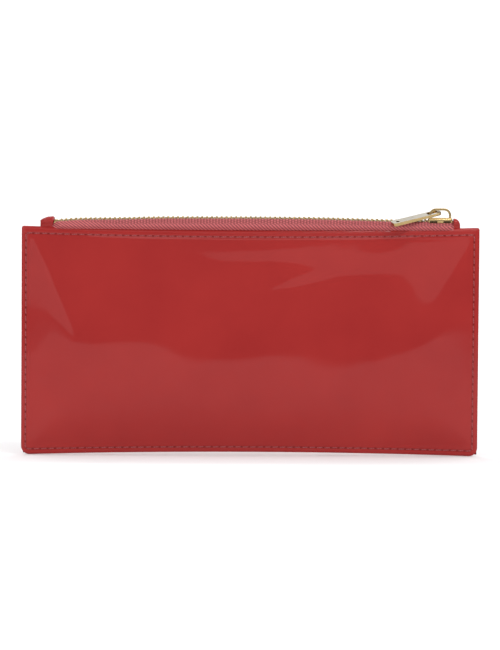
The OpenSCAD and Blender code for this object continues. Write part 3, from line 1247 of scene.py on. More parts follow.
@dataclass
class Stitching(Assembly):
    """Rows of lockstitches, each a short sloping length of thread sunk into its holes."""

    skins: Skins
    pitch: float = 3.25 * MM
    length: float = 2.5 * MM
    radius: float = 0.21 * MM
    slant: float = math.radians(4)
    proud: float = 0.06 * MM
    sides: int = 8
    cuts: tuple[float, ...] = (-0.38, -0.16, 0.16, 0.38)
    taper: float = 0.45
    bow: float = 0.25
    dip: float = 1.1
    probe: float = 0.4 * MM
    slot_seam_start: float = 1.2 * MM
    slot_seam_depth: float = 3.15 * MM

    def model(self) -> Object:
        """Make one stitch along X: a bowed thread whose ends dip into the leather.

        Returns:
            The stitch at the origin.
        """
        bpy.ops.object.select_all(action="DESELECT")
        bpy.ops.mesh.primitive_cylinder_add(
            vertices=self.sides, radius=self.radius, depth=self.length,
            rotation=(0, math.pi / 2, 0), end_fill_type="NGON")
        obj = settle(bpy.context.object)
        only(obj)
        bpy.ops.object.mode_set(mode="EDIT")
        for at in self.cuts:
            bpy.ops.mesh.select_all(action="SELECT")
            bpy.ops.mesh.bisect(plane_co=(at * self.length, 0, 0), plane_no=(1, 0, 0))
        bpy.ops.object.mode_set(mode="OBJECT")
        points = read_points(obj)
        along = np.abs(points[:, 0]) / (self.length / 2)
        points[:, 1:] *= (1 - self.taper * along ** 4)[:, None]
        points[:, 1] += self.radius * (self.bow - self.dip * along ** 3)
        write_points(obj, points)
        return smooth(tidy_mesh(obj), ROUND)

    def frame_at(self, x: float, z: float, angle: float, side: Side) -> Matrix:
        """The place of a stitch on the panel at a place of the plain rectangle.

        Args:
            x: Place along the width.
            z: Height.
            angle: The row's direction in the plane of the panel, from X towards Z.
            side: The half of the wallet.

        Returns:
            The matrix for one stitch.
        """
        def surface(a: float, b: float) -> Vector:
            """The point on the leather at the bottom of the stitches' groove.

            Args:
                a: Place along the width of the plain rectangle.
                b: Height in it.

            Returns:
                The point.
            """
            pa, pb = np.array([a]), np.array([b])
            real_x, real_z = self.form.outline(pa, pb)
            depth = self.form.half(real_x, real_z) + self.form.waves(pa, pb, side)
            return Vector((real_x[0], side.value * (depth[0] - self.skins.groove), real_z[0]))

        step = self.probe
        here = surface(x, z)
        along = surface(x + step * math.cos(angle), z + step * math.sin(angle)) - here
        across = surface(x - step * math.sin(angle), z + step * math.cos(angle)) - here
        along.normalize()
        out = along.cross(across).normalized()
        if out.y * side.value < 0:
            out.negate()
        third = along.cross(out)
        matrix = Matrix((along, out, third)).transposed().to_4x4()
        return Matrix.Translation(here + out * self.proud) @ matrix @ Matrix.Rotation(
            self.slant, 4, "Y")

    def rows(self, side: Side) -> dict[str, list[Matrix]]:
        """The places of all stitches of one half.

        Args:
            side: The half of the wallet.

        Returns:
            The matrices for the row around the edge and for the row under the zip.
        """
        form, inset = self.form, self.skins.insets
        left, right = -form.half_w + inset["left"], form.half_w - inset["right"]
        low, top = inset["low"], form.height - inset["top"]
        count = round((right - left) / self.pitch)
        step = (right - left) / count
        bottom, zip_row = [], []
        for i in range(count):
            x = left + (i + 0.5) * step
            bottom.append(self.frame_at(x, low, 0.0, side))
            zip_row.append(self.frame_at(x, top, 0.0, side))
        rise = round((top - low) / self.pitch)
        step = (top - low) / rise
        for i in range(rise):
            z = low + (i + 0.5) * step
            bottom.append(self.frame_at(left, z, math.pi / 2, side))
            bottom.append(self.frame_at(right, z, math.pi / 2, side))
        return {"edge": bottom, "zip": zip_row}

    def build(self) -> None:
        """Sew both halves, and the seam that parts the card slots."""
        for side in Side:
            for word, places in self.rows(side).items():
                node = f"{side.word}_{word}_stitching"
                seam = self.mouth.seam_x
                groups = {"": places} if side is Side.REAR else {
                    "_left": [p for p in places if p.translation.x < seam],
                    "_right": [p for p in places if p.translation.x >= seam]}
                for suffix, group in groups.items():
                    name = f"{node}{suffix}" if suffix else f"{node}_thread"
                    row = copies(self.model(), group, name)
                    self.settle_on(self.finishes.dress(row, "thread"), side, node)
        self.slot_seam()

    def slot_seam(self) -> None:
        """Sew the card slots down the middle."""
        node = "card_slot_stitching"
        low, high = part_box(node)
        turn = Matrix(((0, 0, 1), (0, -1, 0), (1, 0, 0))).to_4x4()
        middle = np.array([0.0])
        places = []
        for i in range(round((high[2] - low[2]) / self.pitch) + 1):
            z = low[2] + self.slot_seam_start + i * self.pitch
            at = np.array([z])
            y = self.form.half(middle, at) + self.form.waves(middle, at, Side.REAR)
            places.append(Matrix.Translation((0, y[0] - self.slot_seam_depth, z)) @ turn)
        row = copies(self.model(), places, "card_slot_thread")
        self.settle_on(self.finishes.dress(row, "thread"), Side.REAR, node)


@dataclass(frozen=True)
class ChainLine:
    """The line of the zip's chain, which rises a little over the middle of the wallet.

    Each knot holds a place along the width and the rise there, in millimetres.
    """

    base_z: float
    thick: float = 1.5 * MM
    half_w: float = 2.0 * MM
    tape: float = 0.4 * MM
    pitch: float = 2.117 * MM
    probe: float = 1.0 * MM
    window: tuple[int, ...] = (-6, -4, -2, 0, 2, 4, 6)
    knots: tuple[tuple[float, float], ...] = (
        (-92, -1.1), (-86, -0.95), (-79, -0.2), (-71, 0.12), (-57, 0.2), (-40, 0.72), (0, 0.85),
        (28, 0.7), (50, 0.15), (64, -0.25), (74, -0.1), (92, 0.0))

    def lift(self, x: np.ndarray) -> np.ndarray:
        """How far the chain stands above the straight line of the frame.

        Args:
            x: Places along the width.

        Returns:
            The rises.
        """
        places, rises = zip(*self.knots)
        return np.interp(np.asarray(x, float) / MM, places, rises) * MM

    def mean_lift(self, x: np.ndarray) -> np.ndarray:
        """The lift with its corners smoothed.

        Args:
            x: Places along the width.

        Returns:
            The rises.
        """
        x = np.asarray(x, float)
        near = [self.lift(x + d * MM) for d in self.window]
        return np.mean(near, axis=0)

    def slope(self, x: float) -> float:
        """The chain's slope.

        Args:
            x: Place along the width.

        Returns:
            The angle.
        """
        before, after = self.mean_lift(np.array([x - self.probe, x + self.probe]))
        return math.atan((after - before) / (2 * self.probe))


@dataclass
class Zip(Assembly):
    """The tapes, the teeth and the stops."""

    chain: ChainLine
    edge_y: float = 0.95 * MM
    bend_y: float = 2.0 * MM
    bend_r: float = 0.8 * MM
    foot_z: float = 98.2 * MM
    belly: float = 0.12 * MM
    weave_step: float = 0.2 * MM
    shown_w: float = 6.6 * MM
    sewn_w: float = 14.5 * MM
    sewn_step: float = 1.1 * MM
    left_start: float = 3.2 * MM
    right_end: float = 3.0 * MM
    belly_h: float = 3.2 * MM
    knot_rise: float = 0.72 * MM
    knot_w: float = 2.5 * MM
    knot_end: float = -58 * MM
    knot_fade: float = 18 * MM
    knot_blend: float = 1.2 * MM
    level_from: float = 86 * MM
    level_run: float = 3 * MM
    left_pinch: tuple[float, float] = (1.4 * MM, 3.6 * MM)
    right_pinch: float = 3.0 * MM
    throat: float = 0.25
    sink_rise: float = 2.0 * MM
    sink_run: float = 2.2 * MM
    mouth_y: float = 2.7 * MM
    seam_drop: float = 0.5 * MM
    rib_fade: float = 1.0 * MM
    under_leather: float = 1.1 * MM
    tape_share: float = 0.8
    tape_sharp: float = 80.0
    tooth_l: float = 0.95 * MM
    tooth_half_l: float = 0.47 * MM
    leg_extra: float = 0.04 * MM
    leg_y: float = 0.05 * MM
    leg_edge: float = 0.32 * MM
    head_y: tuple[float, float] = (-0.55 * MM, 1.15 * MM)
    parted_y: float = 0.65 * MM
    head_share: float = 0.72
    head_edge: float = 0.17 * MM
    stop_edge: float = 0.22 * MM
    nose: float = 3.8 * MM
    rib_run: float = 1.6 * MM
    rib_angle: float = math.radians(34)
    rib_height: float = 0.16 * MM
    cord_power: float = 0.7
    cord_shares: tuple[float, float] = (0.8, 0.2)
    knot_shares: tuple[float, float] = (0.25, 0.75)
    knot_run: float = 1.32 * MM
    slump: float = 0.4 * MM
    cant: float = 0.18 * MM

    def profile(self, s: np.ndarray) -> tuple[np.ndarray, np.ndarray, np.ndarray]:
        """The middle of the tape across its width.

        Args:
            s: Distance along the tape's width from its edge between the teeth.

        Returns:
            Distance from the middle plane, height over the foot as a share, and the height.
        """
        top = self.chain.base_z - self.slump
        mid_r = self.bend_r - self.chain.tape / 2
        flat = self.bend_y - self.edge_y
        quarter = mid_r * math.pi / 2
        turn = np.clip((s - flat) / mid_r, 0, math.pi / 2)
        y = np.where(s < flat, self.edge_y + s, self.bend_y + mid_r * np.sin(turn))
        z = np.where(s < flat, top, top - mid_r + mid_r * np.cos(turn))
        down = np.maximum(s - flat - quarter, 0)
        z = z - down
        y = y + self.belly * np.sin(np.clip(down / self.belly_h, 0, 1) * math.pi)
        share = np.clip((z - self.foot_z) / (top - self.foot_z), 0, 1)
        return y, share, z

    def ribs(self, x: np.ndarray, s: np.ndarray) -> np.ndarray:
        """The tape's relief: knots next to the teeth, slanting cords below.

        Args:
            x: Places along the width of the wallet.
            s: Distances along the tape's width from its edge between the teeth.

        Returns:
            The heights, from 0 to 1.
        """
        wave = self.rib_run * math.sin(self.rib_angle)
        phase = 2 * math.pi * (x * math.sin(self.rib_angle) - s * math.cos(self.rib_angle)) / wave
        cords = (0.5 + 0.5 * np.cos(phase)) ** self.cord_power
        strands = 0.5 + 0.5 * np.cos(phase * 2 + 2 * math.pi * x / self.rib_run)
        knots = (0.5 + 0.5 * np.cos(2 * math.pi * x / self.knot_run)) * (
            0.5 + 0.5 * np.cos(2 * math.pi * (s / self.knot_rise + x / (2 * self.knot_run))))
        start = self.knot_w - self.rib_run * ease((self.knot_end - x) / self.knot_fade)
        blend = ease((s - start) / self.knot_blend)
        coarse, fine = self.cord_shares
        base, rise = self.knot_shares
        return blend * (coarse * cords + fine * strands) + (1 - blend) * (base + rise * knots)

    def tape(self, side: Side) -> None:
        """Make one tape: a ribbed strip from the teeth down into the seam of its half.

        Args:
            side: The half of the wallet.
        """
        form, chain = self.form, self.chain
        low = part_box("left_end_tab")[0][0] + self.left_start
        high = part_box("right_end_tab")[1][0] - self.right_end
        xs = np.arange(low, high, self.weave_step)
        shown = np.arange(0, self.shown_w, self.weave_step)
        sewn = np.arange(self.shown_w + self.weave_step, self.sewn_w, self.sewn_step)
        rows = np.concatenate([shown, sewn])

        def lay(x: np.ndarray, s: np.ndarray) -> np.ndarray:
            """The middle of the tape, gathered into the tabs at its ends.

            Args:
                x: Places along the width of the wallet.
                s: Distances along the tape's width.

            Returns:
                The points, n by 3.
            """
            y, share, z = self.profile(s)
            level = self.slump * ease((x - self.level_from) / self.level_run)
            z = z + (chain.mean_lift(x) + level) * share
            left_gather = ease((x - low - self.left_pinch[0]) / self.left_pinch[1])
            right_gather = ease((high - x) / self.right_pinch)
            gather = self.throat + (1 - self.throat) * np.minimum(left_gather, right_gather)
            under = form.half(x, np.minimum(z, form.height)) - self.under_leather
            under = under + form.waves(x, z, side)
            sink = ease((self.foot_z + self.sink_rise - z) / self.sink_run)
            y = y * (1 - sink) + np.minimum(under, self.mouth_y) * sink
            y = np.where(z < self.foot_z - self.seam_drop, under, y * gather)
            return np.stack([x, side.value * y, z], 1)

        obj = grid_sheet(f"{side.word}_tape_work", xs, rows, lay)
        relief = grid_values(xs, rows, obj, self.ribs)
        modify(obj, "SOLIDIFY", thickness=chain.tape * self.tape_share, offset=0)
        points = read_points(obj)
        normals = np.empty(len(points) * 3)
        obj.data.vertices.foreach_get("normal", normals)
        both = np.concatenate([relief, relief])[:len(points)]
        fade = np.clip((points[:, 2] - self.foot_z) / self.rib_fade, 0, 1)
        points += normals.reshape(-1, 3) * (both * fade * self.rib_height)[:, None]
        write_points(obj, points)
        put_values(obj, "rib", both)
        self.place(obj, side, f"{side.word}_zip_tape", "zip_tape", self.tape_sharp)

    def tooth(self, parted: bool = False) -> Object:
        """One tooth on the rear tape: legs that grip the tape and a rounded head.

        Args:
            parted: Whether it stands beside the slider's post, with its head drawn back.

        Returns:
            The tooth at the middle of the chain, pointing to the front.
        """
        half_l, half_t = self.tooth_half_l, self.chain.thick / 2
        reach = self.parted_y if parted else self.head_y[0]
        leg_l, head_t = half_l + self.leg_extra, half_t * self.head_share
        legs = box_piece("tooth", (-leg_l, self.edge_y, -half_t),
                         (leg_l, self.chain.half_w + self.leg_y, half_t), self.leg_edge)
        head = box_piece("head", (-half_l, reach, -head_t), (half_l, self.head_y[1], head_t),
                         self.head_edge)
        return smooth(joined([legs, head], "tooth"), ROUND)

    def teeth(self, side: Side) -> None:
        """Make one row of teeth along the chain's line.

        Args:
            side: The half of the wallet.
        """
        node = f"{side.word}_teeth"
        low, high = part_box(node)
        slider_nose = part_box("slider_body")[1][0]
        start = low[0] + self.tooth_l / 2
        count = round((high[0] - low[0] - self.tooth_l) / self.chain.pitch)
        flip = Matrix.Scale(side.value, 4, (0, 1, 0))
        plain: dict[str, list[Matrix]] = {"left": [], "right": []}
        parted: list[Matrix] = []
        for i in range(count + 1):
            x = start + i * self.chain.pitch
            lift = float(self.chain.mean_lift(np.array([x]))[0]) - side.value * self.cant
            place = (Matrix.Translation((x, 0, self.chain.base_z + lift))
                     @ Matrix.Rotation(-self.chain.slope(x), 4, "Y") @ flip)
            if x > slider_nose - self.nose:
                parted.append(place)
            else:
                plain["left" if x < self.mouth.seam_x else "right"].append(place)
        left = copies(self.tooth(), plain["left"], f"{node}_left")
        right = joined([copies(self.tooth(), plain["right"], "plain"),
                        copies(self.tooth(True), parted, "parted")], f"{node}_right")
        rows = [left, right] if side is Side.FRONT else [joined([left, right], f"{node}_row")]
        for row in rows:
            smooth(tidy_mesh(row), ROUND)
            self.settle_on(self.finishes.dress(row, "gold_metal"), side, node)

    def stops(self) -> None:
        """Make the bottom stop and both top stops as rounded metal clips."""
        for node in ("bottom_stop", "rear_top_stop", "front_top_stop"):
            low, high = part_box(node)
            clip = box_piece(f"{node}_clip", low, high, self.stop_edge, 3)
            if node == "bottom_stop":
                lift = float(self.chain.mean_lift(np.array([low[0]]))[0])
                clip.data.transform(Matrix.Translation((0, 0, lift)))
            smooth(clip, CREASE)
            side = Side.FRONT if node == "front_top_stop" else Side.REAR
            self.settle_on(self.finishes.dress(clip, "gold_metal"), side, node)

    def build(self) -> None:
        """Make both tapes, both rows of teeth and the stops."""
        for side in Side:
            self.tape(side)
            self.teeth(side)
        self.stops()


@dataclass(frozen=True)
class TabSize:
    """The outline of one end tab.

    Start and end are measured from the frame's tab. Each knot of the ridge holds the distance
    from the tab's start, or from its end if negative, and the height.
    """

    start: float
    end: float
    half_w: float
    shear: float
    columns: int
    knots: tuple[tuple[float, float], ...]

    def ridge(self, low: float, high: float, x: np.ndarray) -> np.ndarray:
        """The height of the ridge.

        Args:
            low: Where the tab starts.
            high: Where it ends.
            x: Places between them.

        Returns:
            The heights.
        """
        places = [high + at if at < 0 else low + at for at, _ in self.knots[:-1]] + [high]
        return np.interp(x, places, [height for _, height in self.knots])


@dataclass
class EndTabs(Assembly):
    """The leather folded over both ends of the zip."""

    leather: float = 0.75 * MM
    drop: float = 0.6 * MM
    pinch_l: float = 1.5 * MM
    pinched: float = 0.25
    tuck: float = 0.72
    tuck_h: float = 3.0 * MM
    tuck_lift: float = 0.2 * MM
    shear_h: float = 4.5 * MM
    side_power: float = 0.42
    top_power: float = 0.55
    edge: float = 0.18 * MM
    around_steps: int = 33
    soften_past: float = 55.0
    sharp: float = 45.0
    left: TabSize = TabSize(-0.4 * MM, -1.9 * MM, 3.3 * MM, 1.3 * MM, 30, (
        (0.0, 102.4 * MM), (1.2 * MM, 103.3 * MM), (2.6 * MM, 104.0 * MM),
        (-0.7 * MM, 104.2 * MM), (0.0, 103.5 * MM)))
    right: TabSize = TabSize(-0.8 * MM, -1.1 * MM, 3.1 * MM, 0.0, 24, (
        (0.0, 104.0 * MM), (0.8 * MM, 103.9 * MM), (-1.1 * MM, 103.4 * MM),
        (-0.4 * MM, 102.5 * MM), (0.0, 101.4 * MM)))

    def fold(self, node: str, size: TabSize, closed_low: bool) -> Object:
        """Make a strip of leather folded over a ridge and pinched shut at one end.

        Args:
            node: The frame's node that it stands for.
            size: Its outline.
            closed_low: Whether the end with the lowest x is the closed one.

        Returns:
            The closed solid.
        """
        box_low, box_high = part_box(node)
        low, high = box_low[0] + size.start, box_high[0] + size.end
        foot = box_low[2] - self.drop
        around = np.linspace(0, 1, self.around_steps)

        def lay(x: np.ndarray, v: np.ndarray) -> np.ndarray:
            """The outer surface of the fold.

            Args:
                x: Places along the tab.
                v: Shares of the way around, from the front foot over the ridge.

            Returns:
                The points, n by 3.
            """
            angle = v * math.pi
            side_y = -np.sign(np.cos(angle)) * np.abs(np.cos(angle)) ** self.side_power
            rise = np.abs(np.sin(angle)) ** self.top_power
            gap = (x - low) if closed_low else (high - x)
            open_share = np.clip(gap / self.pinch_l, 0, 1)
            pinch = np.sqrt(np.clip(1 - (1 - open_share) ** 2, 0, 1))
            width = size.half_w * (self.pinched + (1 - self.pinched) * pinch)
            z = foot + (size.ridge(low, high, x) - foot) * rise
            slide = size.shear * gap / (high - low) * (z - foot) / self.shear_h
            tucked = ease((foot + self.tuck_h + self.tuck_lift - z) / self.tuck_h)
            tuck = 1 - self.tuck * tucked
            return np.stack([x + (slide if closed_low else -slide), side_y * width * tuck, z], 1)

        obj = grid_sheet(f"{node}_fold", np.linspace(low, high, size.columns), around, lay)
        tidy_mesh(obj)
        modify(obj, "SOLIDIFY", thickness=self.leather, offset=-1)
        return smooth(soften(obj, self.edge, 2, self.soften_past), self.sharp)

    def build(self) -> None:
        """Make both tabs."""
        for node, size in (("left_end_tab", self.left), ("right_end_tab", self.right)):
            tab = self.fold(node, size, size is self.left)
            self.settle_on(self.finishes.dress(tab, "patent_leather"), Side.REAR, node)


@dataclass
class SliderAndPull(Assembly):
    """The slider with its bridge, and the pull that hangs from it."""

    shell_lift: float = 0.4 * MM
    shell_r: float = 1.1 * MM
    shell_steps: int = 6
    roof: float = 0.3 * MM
    wall: float = 0.5 * MM
    slot_at: float = 2.95 * MM
    slot_half_l: float = 1.7 * MM
    slot_z: tuple[float, float] = (0.36 * MM, 1.1 * MM)
    slot_edge: float = 0.25 * MM
    shell_edge: float = 0.17 * MM
    under_y: float = 2.2 * MM
    under_z: tuple[float, float] = (-0.35 * MM, 0.05 * MM)
    under_inset: float = 0.3 * MM
    under_edge: float = 0.15 * MM
    post_x: tuple[float, float] = (2.6 * MM, 0.6 * MM)
    post_y: float = 0.5 * MM
    post_edge: float = 0.1 * MM
    inside_x: float = 0.9 * MM
    inside_y: float = 0.32 * MM
    inside_t: float = 0.16 * MM
    inside_low: float = 0.3 * MM
    inside_top: float = 0.2 * MM
    inside_edge: float = 0.05 * MM
    edge: float = 0.2 * MM
    band: float = 0.98 * MM
    corner: float = 3.1 * MM
    bend_steps: int = 8
    bridge_sink: float = 0.15 * MM
    bridge_root: float = 0.9 * MM
    pull_yaw: float = math.radians(17.5)
    pull_slope: float = math.radians(13.8)
    pull_roll: float = math.radians(16)
    pull_l: float = 22.2 * MM
    pull_w: float = 4.8 * MM
    pull_t: float = 1.4 * MM
    pull_r: float = 1.4 * MM
    bar_r: float = 0.55 * MM
    eye_l: float = 4.9 * MM
    eye_w: float = 3.4 * MM
    eye_edge: float = 0.5 * MM
    reach: float = 3 * MM
    hole_r: float = 0.8 * MM
    hole_steps: int = 32
    hole_at: tuple[float, float] = (2.6 * MM, -0.4 * MM)
    face_cos: float = 0.97

    def hang_on(self, obj: Object, body: Body, node: str | None) -> None:
        """Let a piece ride a body of the slider and stand for its node.

        Args:
            obj: The dressed piece.
            body: The body that it rides on.
            node: The frame's node that it stands for, if any.
        """
        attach(obj, body.value)
        if node:
            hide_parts(node)
        LOG.info("%s: %d faces", obj.name, len(obj.data.polygons))

    def slider(self) -> None:
        """Make the slider: a rounded shell over the chain, slots in its sides, and its post."""
        low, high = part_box("slider_body")
        low = (low[0], low[1], low[2] + self.shell_lift)
        shell = box_piece("slider_shell", low, high, self.shell_r, self.shell_steps)
        middle = (low[0] + high[0]) / 2
        inner_top = high[2] - self.roof
        cut(shell, box_piece("channel", (low[0] - MM, low[1] + self.wall, low[2] - MM),
                             (high[0] + MM, high[1] - self.wall, inner_top)))
        for sign in (-1, 1):
            at = middle + sign * self.slot_at
            cut(shell, box_piece(
                "slot", (at - self.slot_half_l, low[1] - MM, low[2] + self.slot_z[0]),
                (at + self.slot_half_l, high[1] + MM, low[2] + self.slot_z[1]),
                self.slot_edge, 3))
        under = box_piece(
            "under", (low[0] + self.under_inset, -self.under_y, low[2] + self.under_z[0]),
            (high[0] - self.under_inset, self.under_y, low[2] + self.under_z[1]),
            self.under_edge)
        post = box_piece(
            "post", (high[0] - self.post_x[0], -self.post_y, low[2]),
            (high[0] - self.post_x[1], self.post_y, inner_top + self.post_edge), self.post_edge)
        soften(shell, self.shell_edge, 3, CREASE)
        body = smooth(joined([shell, under, post], "slider_shell"), CREASE)
        self.slot_shadow_walls(low, high, inner_top)
        self.hang_on(self.finishes.dress(body, "gold_metal"), Body.SLIDER, "slider_body")

    def slot_shadow_walls(self, low: Sequence[float], high: Sequence[float], top: float) -> None:
        """Make the dark walls behind the slots: painted shadow, drawn as near-black metal sheets where the
        slots are in shade.

        Args:
            low: The shell's lowest corner.
            high: The shell's highest corner.
            top: The height of the channel's roof.
        """
        walls = []
        for edge_y in (low[1] + self.inside_y, high[1] - self.inside_y - self.inside_t):
            walls.append(box_piece(
                "inside", (low[0] + self.inside_x, edge_y, low[2] + self.inside_low),
                (high[0] - self.inside_x, edge_y + self.inside_t, top - self.inside_top),
                self.inside_edge))
        inside = smooth(joined(walls, "slider_slot_shadow_walls"), CREASE)
        self.finishes.dress(inside, "gold_metal", self.finishes.slot_shadow_metal)
        self.hang_on(inside, Body.SLIDER, None)

    def pick_top(self, strip: Object) -> None:
        """Select the strip's highest face and stay in edit mode.

        Args:
            strip: The band.
        """
        points = read_points(strip)
        edge = points[:, 2].max()
        for side in strip.data.edges:
            side.select = False
        for vertex in strip.data.vertices:
            vertex.select = abs(points[vertex.index][2] - edge) < TOUCH
        for face in strip.data.polygons:
            face.select = all(strip.data.vertices[v].select for v in face.vertices)
        bpy.ops.object.mode_set(mode="EDIT")
        bpy.ops.mesh.select_mode(type="FACE")

    def bridge(self) -> None:
        """Make the bridge: a flat band carried up, over and down in one bend."""
        low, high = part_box("slider_bridge")
        foot = low[2] - self.bridge_sink
        strip = box_piece("bridge_band", (low[0], low[1], foot),
                          (low[0] + self.band, high[1], foot + self.bridge_root))
        only(strip)
        rise = high[2] - self.corner
        quarter = -math.pi / 2
        self.pick_top(strip)
        bpy.ops.mesh.extrude_region_move(
            TRANSFORM_OT_translate={"value": (0, 0, rise - foot - self.bridge_root)})
        bpy.ops.mesh.spin(steps=self.bend_steps, angle=quarter, axis=(0, 1, 0),
                          center=(low[0] + self.corner, 0, rise))
        bpy.ops.mesh.extrude_region_move(
            TRANSFORM_OT_translate={"value": (high[0] - low[0] - 2 * self.corner, 0, 0)})
        bpy.ops.mesh.spin(steps=self.bend_steps, angle=quarter, axis=(0, 1, 0),
                          center=(high[0] - self.corner, 0, rise))
        bpy.ops.mesh.extrude_region_move(TRANSFORM_OT_translate={"value": (0, 0, foot - rise)})
        bpy.ops.object.mode_set(mode="OBJECT")
        tidy_mesh(strip, TOUCH)
        smooth(soften(strip, self.edge, 3, ROUND), CREASE)
        self.hang_on(self.finishes.dress(strip, "gold_metal"), Body.SLIDER, "slider_bridge")

    def pull(self) -> None:
        """Make the pull: a bar with an eye at one end and a small hole at the other."""
        half_w = self.pull_w / 2
        plate = box_piece("pull_bar", (-self.pull_l, -half_w, -self.bar_r),
                          (self.bar_r, half_w, self.pull_t - self.bar_r))
        only(plate)
        bpy.ops.object.mode_set(mode="EDIT")
        bpy.ops.mesh.select_mode(type="EDGE")
        bpy.ops.mesh.select_all(action="DESELECT")
        bpy.ops.object.mode_set(mode="OBJECT")
        for edge in plate.data.edges:
            a, b = (plate.data.vertices[v].co for v in edge.vertices)
            edge.select = abs(a.x - b.x) < TOUCH and abs(a.y - b.y) < TOUCH
        bpy.ops.object.mode_set(mode="EDIT")
        bpy.ops.mesh.bevel(offset=self.pull_r, segments=self.bend_steps)
        bpy.ops.object.mode_set(mode="OBJECT")
        points = read_points(plate)
        near = points[:, 0] > -self.bar_r - self.eye_l
        points[:, 2] = np.where(near & (points[:, 2] > self.bar_r), self.bar_r, points[:, 2])
        write_points(plate, points)
        cut(plate, box_piece("eye", (-self.bar_r - self.eye_l, -self.eye_w / 2, -self.reach),
                             (-self.bar_r, self.eye_w / 2, self.reach), self.eye_edge, 4))
        bpy.ops.object.select_all(action="DESELECT")
        bpy.ops.mesh.primitive_cylinder_add(
            vertices=self.hole_steps, radius=self.hole_r, depth=2 * self.reach,
            location=(self.hole_at[0] - self.pull_l, self.hole_at[1], 0))
        cut(plate, settle(bpy.context.object))
        soften(plate, self.edge, 3, CREASE)
        pivot = next(j for j in frame["record"]["behaviour"]["joints"]
                     if j["name"] == "pull_swing")["pos_m"]
        place = (Matrix.Translation(pivot) @ Matrix.Rotation(self.pull_yaw, 4, "Z")
                 @ Matrix.Rotation(-self.pull_slope, 4, "Y")
                 @ Matrix.Rotation(self.pull_roll, 4, "X"))
        plate.data.transform(place)
        smooth(tidy_mesh(plate), CREASE)
        self.finishes.dress(plate, "gold_metal")
        # painted reflection: the faces that look up get a paler grey metal, which stands for the white
        # light they mirror
        plate.data.materials.append(self.finishes.pull_top_reflection_metal)
        up = place.to_3x3() @ Vector((0, 0, 1))
        for face in plate.data.polygons:
            face.material_index = int(face.normal.dot(up) > self.face_cos)
        self.hang_on(plate, Body.PULL, "pull")

    def build(self) -> None:
        """Make the slider, its bridge and the pull."""
        self.slider()
        self.bridge()
        self.pull()


# ---- studio -----------------------------------------------------------------


@dataclass(frozen=True)
class Lamp:
    """One soft box: where it stands, what it points at, its size and its power."""

    name: str
    place: tuple[float, float, float]
    aim: tuple[float, float, float]
    size: tuple[float, float]
    power: float
    shape: str = "RECTANGLE"

    def build(self) -> Object:
        """Put the lamp in the scene.

        Returns:
            The area light.
        """
        data = bpy.data.lights.new(self.name, "AREA")
        data.shape = self.shape
        data.size, data.size_y = self.size
        data.energy = self.power
        obj = bpy.data.objects.new(self.name, data)
        bpy.context.scene.collection.objects.link(obj)
        obj.visible_camera = False
        obj.location = self.place
        toward = Vector(self.aim) - Vector(self.place)
        obj.rotation_euler = toward.to_track_quat("-Z", "Y").to_euler()
        return obj


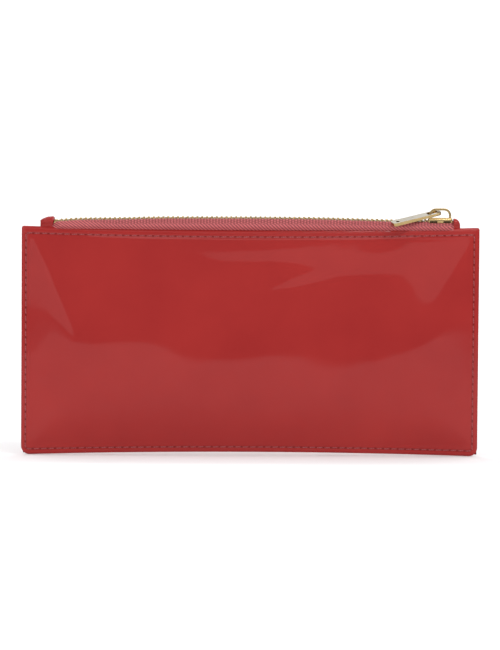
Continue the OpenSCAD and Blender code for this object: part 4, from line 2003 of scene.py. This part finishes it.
@dataclass
class Studio:
    """White paper sweep, soft boxes and the camera."""

    paper: Material
    distance: float = 1.8
    span: float = 218.6 * MM
    look_x: float = -0.1 * MM
    look_z: float = 57.0 * MM
    elevation: float = math.radians(1.5)
    roll: float = math.radians(0.28)
    sweep_y: float = 2.6
    sweep_run: float = 1.0
    floor_front: float = -2.2
    paper_run: float = 6.6
    paper_half_w: float = 3.5
    rows: tuple[int, int, int] = (10, 16, 6)
    row_gap: float = 0.1
    columns: int = 9
    sensor_mm: float = 36.0
    far: float = 50.0
    air: str = "#f4f6fa"
    air_strength: float = 0.3
    lamps: list[Lamp] = field(default_factory=lambda: [
        Lamp("key_box", (0.5, -1.1, 1.15), (0, 0, 0.05), (1.0, 0.2), 7.6),
        Lamp("left_box", (-0.7, -1.0, 1.5), (0, 0, 0.05), (1.0, 0.9), 4.8),
        Lamp("side_box", (-0.66, -1.2, 0.42), (0, 0, 0.05), (0.76, 0.8), 1.75),
        Lamp("fill_box", (1.1, -0.9, 1.1), (0, 0, 0.05), (0.9, 0.9), 2.2),
        Lamp("top_box", (0.0, 0.2, 1.4), (0, 0, 0.0), (1.6, 1.2), 9.4),
        Lamp("back_box", (0.0, 1.4, 2.4), (0, 3.2, 0.8), (2.2, 0.8), 60.0),
        Lamp("strip_box", (0.38, -1.2, 0.375), (0, 0, 0.08), (0.9, 0.24), 0.4, "ELLIPSE"),
        Lamp("band_box", (0.0, -1.2, 0.6), (0, 0, 0.1), (1.9, 0.14), 1.4),
    ])

    def floor(self) -> None:
        """Make the sweep: a floor that turns up into a wall behind the wallet."""
        wall = self.sweep_y + self.sweep_run
        flat, turned, upright = self.rows
        ys = np.concatenate([np.linspace(self.floor_front, self.sweep_y, flat),
                             np.linspace(self.sweep_y + self.row_gap, wall, turned),
                             np.linspace(wall + self.row_gap, self.paper_run, upright)])
        xs = np.linspace(-self.paper_half_w, self.paper_half_w, self.columns)

        def lay(x: np.ndarray, s: np.ndarray) -> np.ndarray:
            """The paper, which turns up in a quarter circle.

            Args:
                x: Places across the paper.
                s: Distances along it from the wallet.

            Returns:
                The points, n by 3.
            """
            turn = np.clip((s - self.sweep_y) / self.sweep_run, 0, 1) * math.pi / 2
            radius = self.sweep_run / (math.pi / 2)
            y = np.where(s < self.sweep_y, s, self.sweep_y + radius * np.sin(turn))
            z = radius * (1 - np.cos(turn)) + np.maximum(s - self.sweep_y - self.sweep_run, 0)
            return np.stack([x, y, z], 1)

        obj = grid_sheet("paper_sweep", xs, ys, lay)
        obj.data.materials.append(self.paper)
        smooth(obj, ROUND)

    def camera(self) -> None:
        """Make the camera square on to the front, a little above the horizon."""
        data = bpy.data.cameras.new("camera")
        data.sensor_fit = "HORIZONTAL"
        data.sensor_width = self.sensor_mm
        data.lens = self.sensor_mm * self.distance / self.span
        data.clip_end = self.far
        obj = bpy.data.objects.new("camera", data)
        bpy.context.scene.collection.objects.link(obj)
        away = Vector((0, -math.cos(self.elevation), math.sin(self.elevation)))
        obj.location = Vector((self.look_x, 0, self.look_z)) + away * self.distance
        tilt = Euler((math.pi / 2 - self.elevation, 0, 0)).to_matrix()
        obj.rotation_euler = (tilt @ Matrix.Rotation(self.roll, 3, "Z")).to_euler()
        bpy.context.scene.camera = obj

    def build(self) -> None:
        """Set up the floor, the lamps, the sky and the camera."""
        self.floor()
        for lamp in self.lamps:
            lamp.build()
        world = bpy.data.worlds.new("studio_air")
        world.use_nodes = True
        sky = world.node_tree.nodes["Background"]
        sky.inputs["Color"].default_value = linear(self.air)
        sky.inputs["Strength"].default_value = self.air_strength
        bpy.context.scene.world = world
        bpy.context.scene.view_settings.view_transform = "Standard"
        self.camera()


def main() -> None:
    """Build the wallet around the frame, piece by piece, then the studio."""
    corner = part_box("rear_panel")[1]
    form = WalletForm(half_w=corner[0], height=corner[2], bulge=corner[1])
    finishes, mouth = Finishes(), MouthPlan()
    chain_low, chain_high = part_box("rear_teeth")
    chain = ChainLine(base_z=(chain_low[2] + chain_high[2]) / 2)
    skins = Skins(form, finishes, mouth)
    makers = (skins, Stitching(form, finishes, mouth, skins), Zip(form, finishes, mouth, chain),
              EndTabs(form, finishes, mouth), SliderAndPull(form, finishes, mouth),
              Studio(finishes.paper))
    for maker in makers:
        maker.build()
        LOG.info("built %s", type(maker).__name__)


if __name__ == "__main__":
    main()
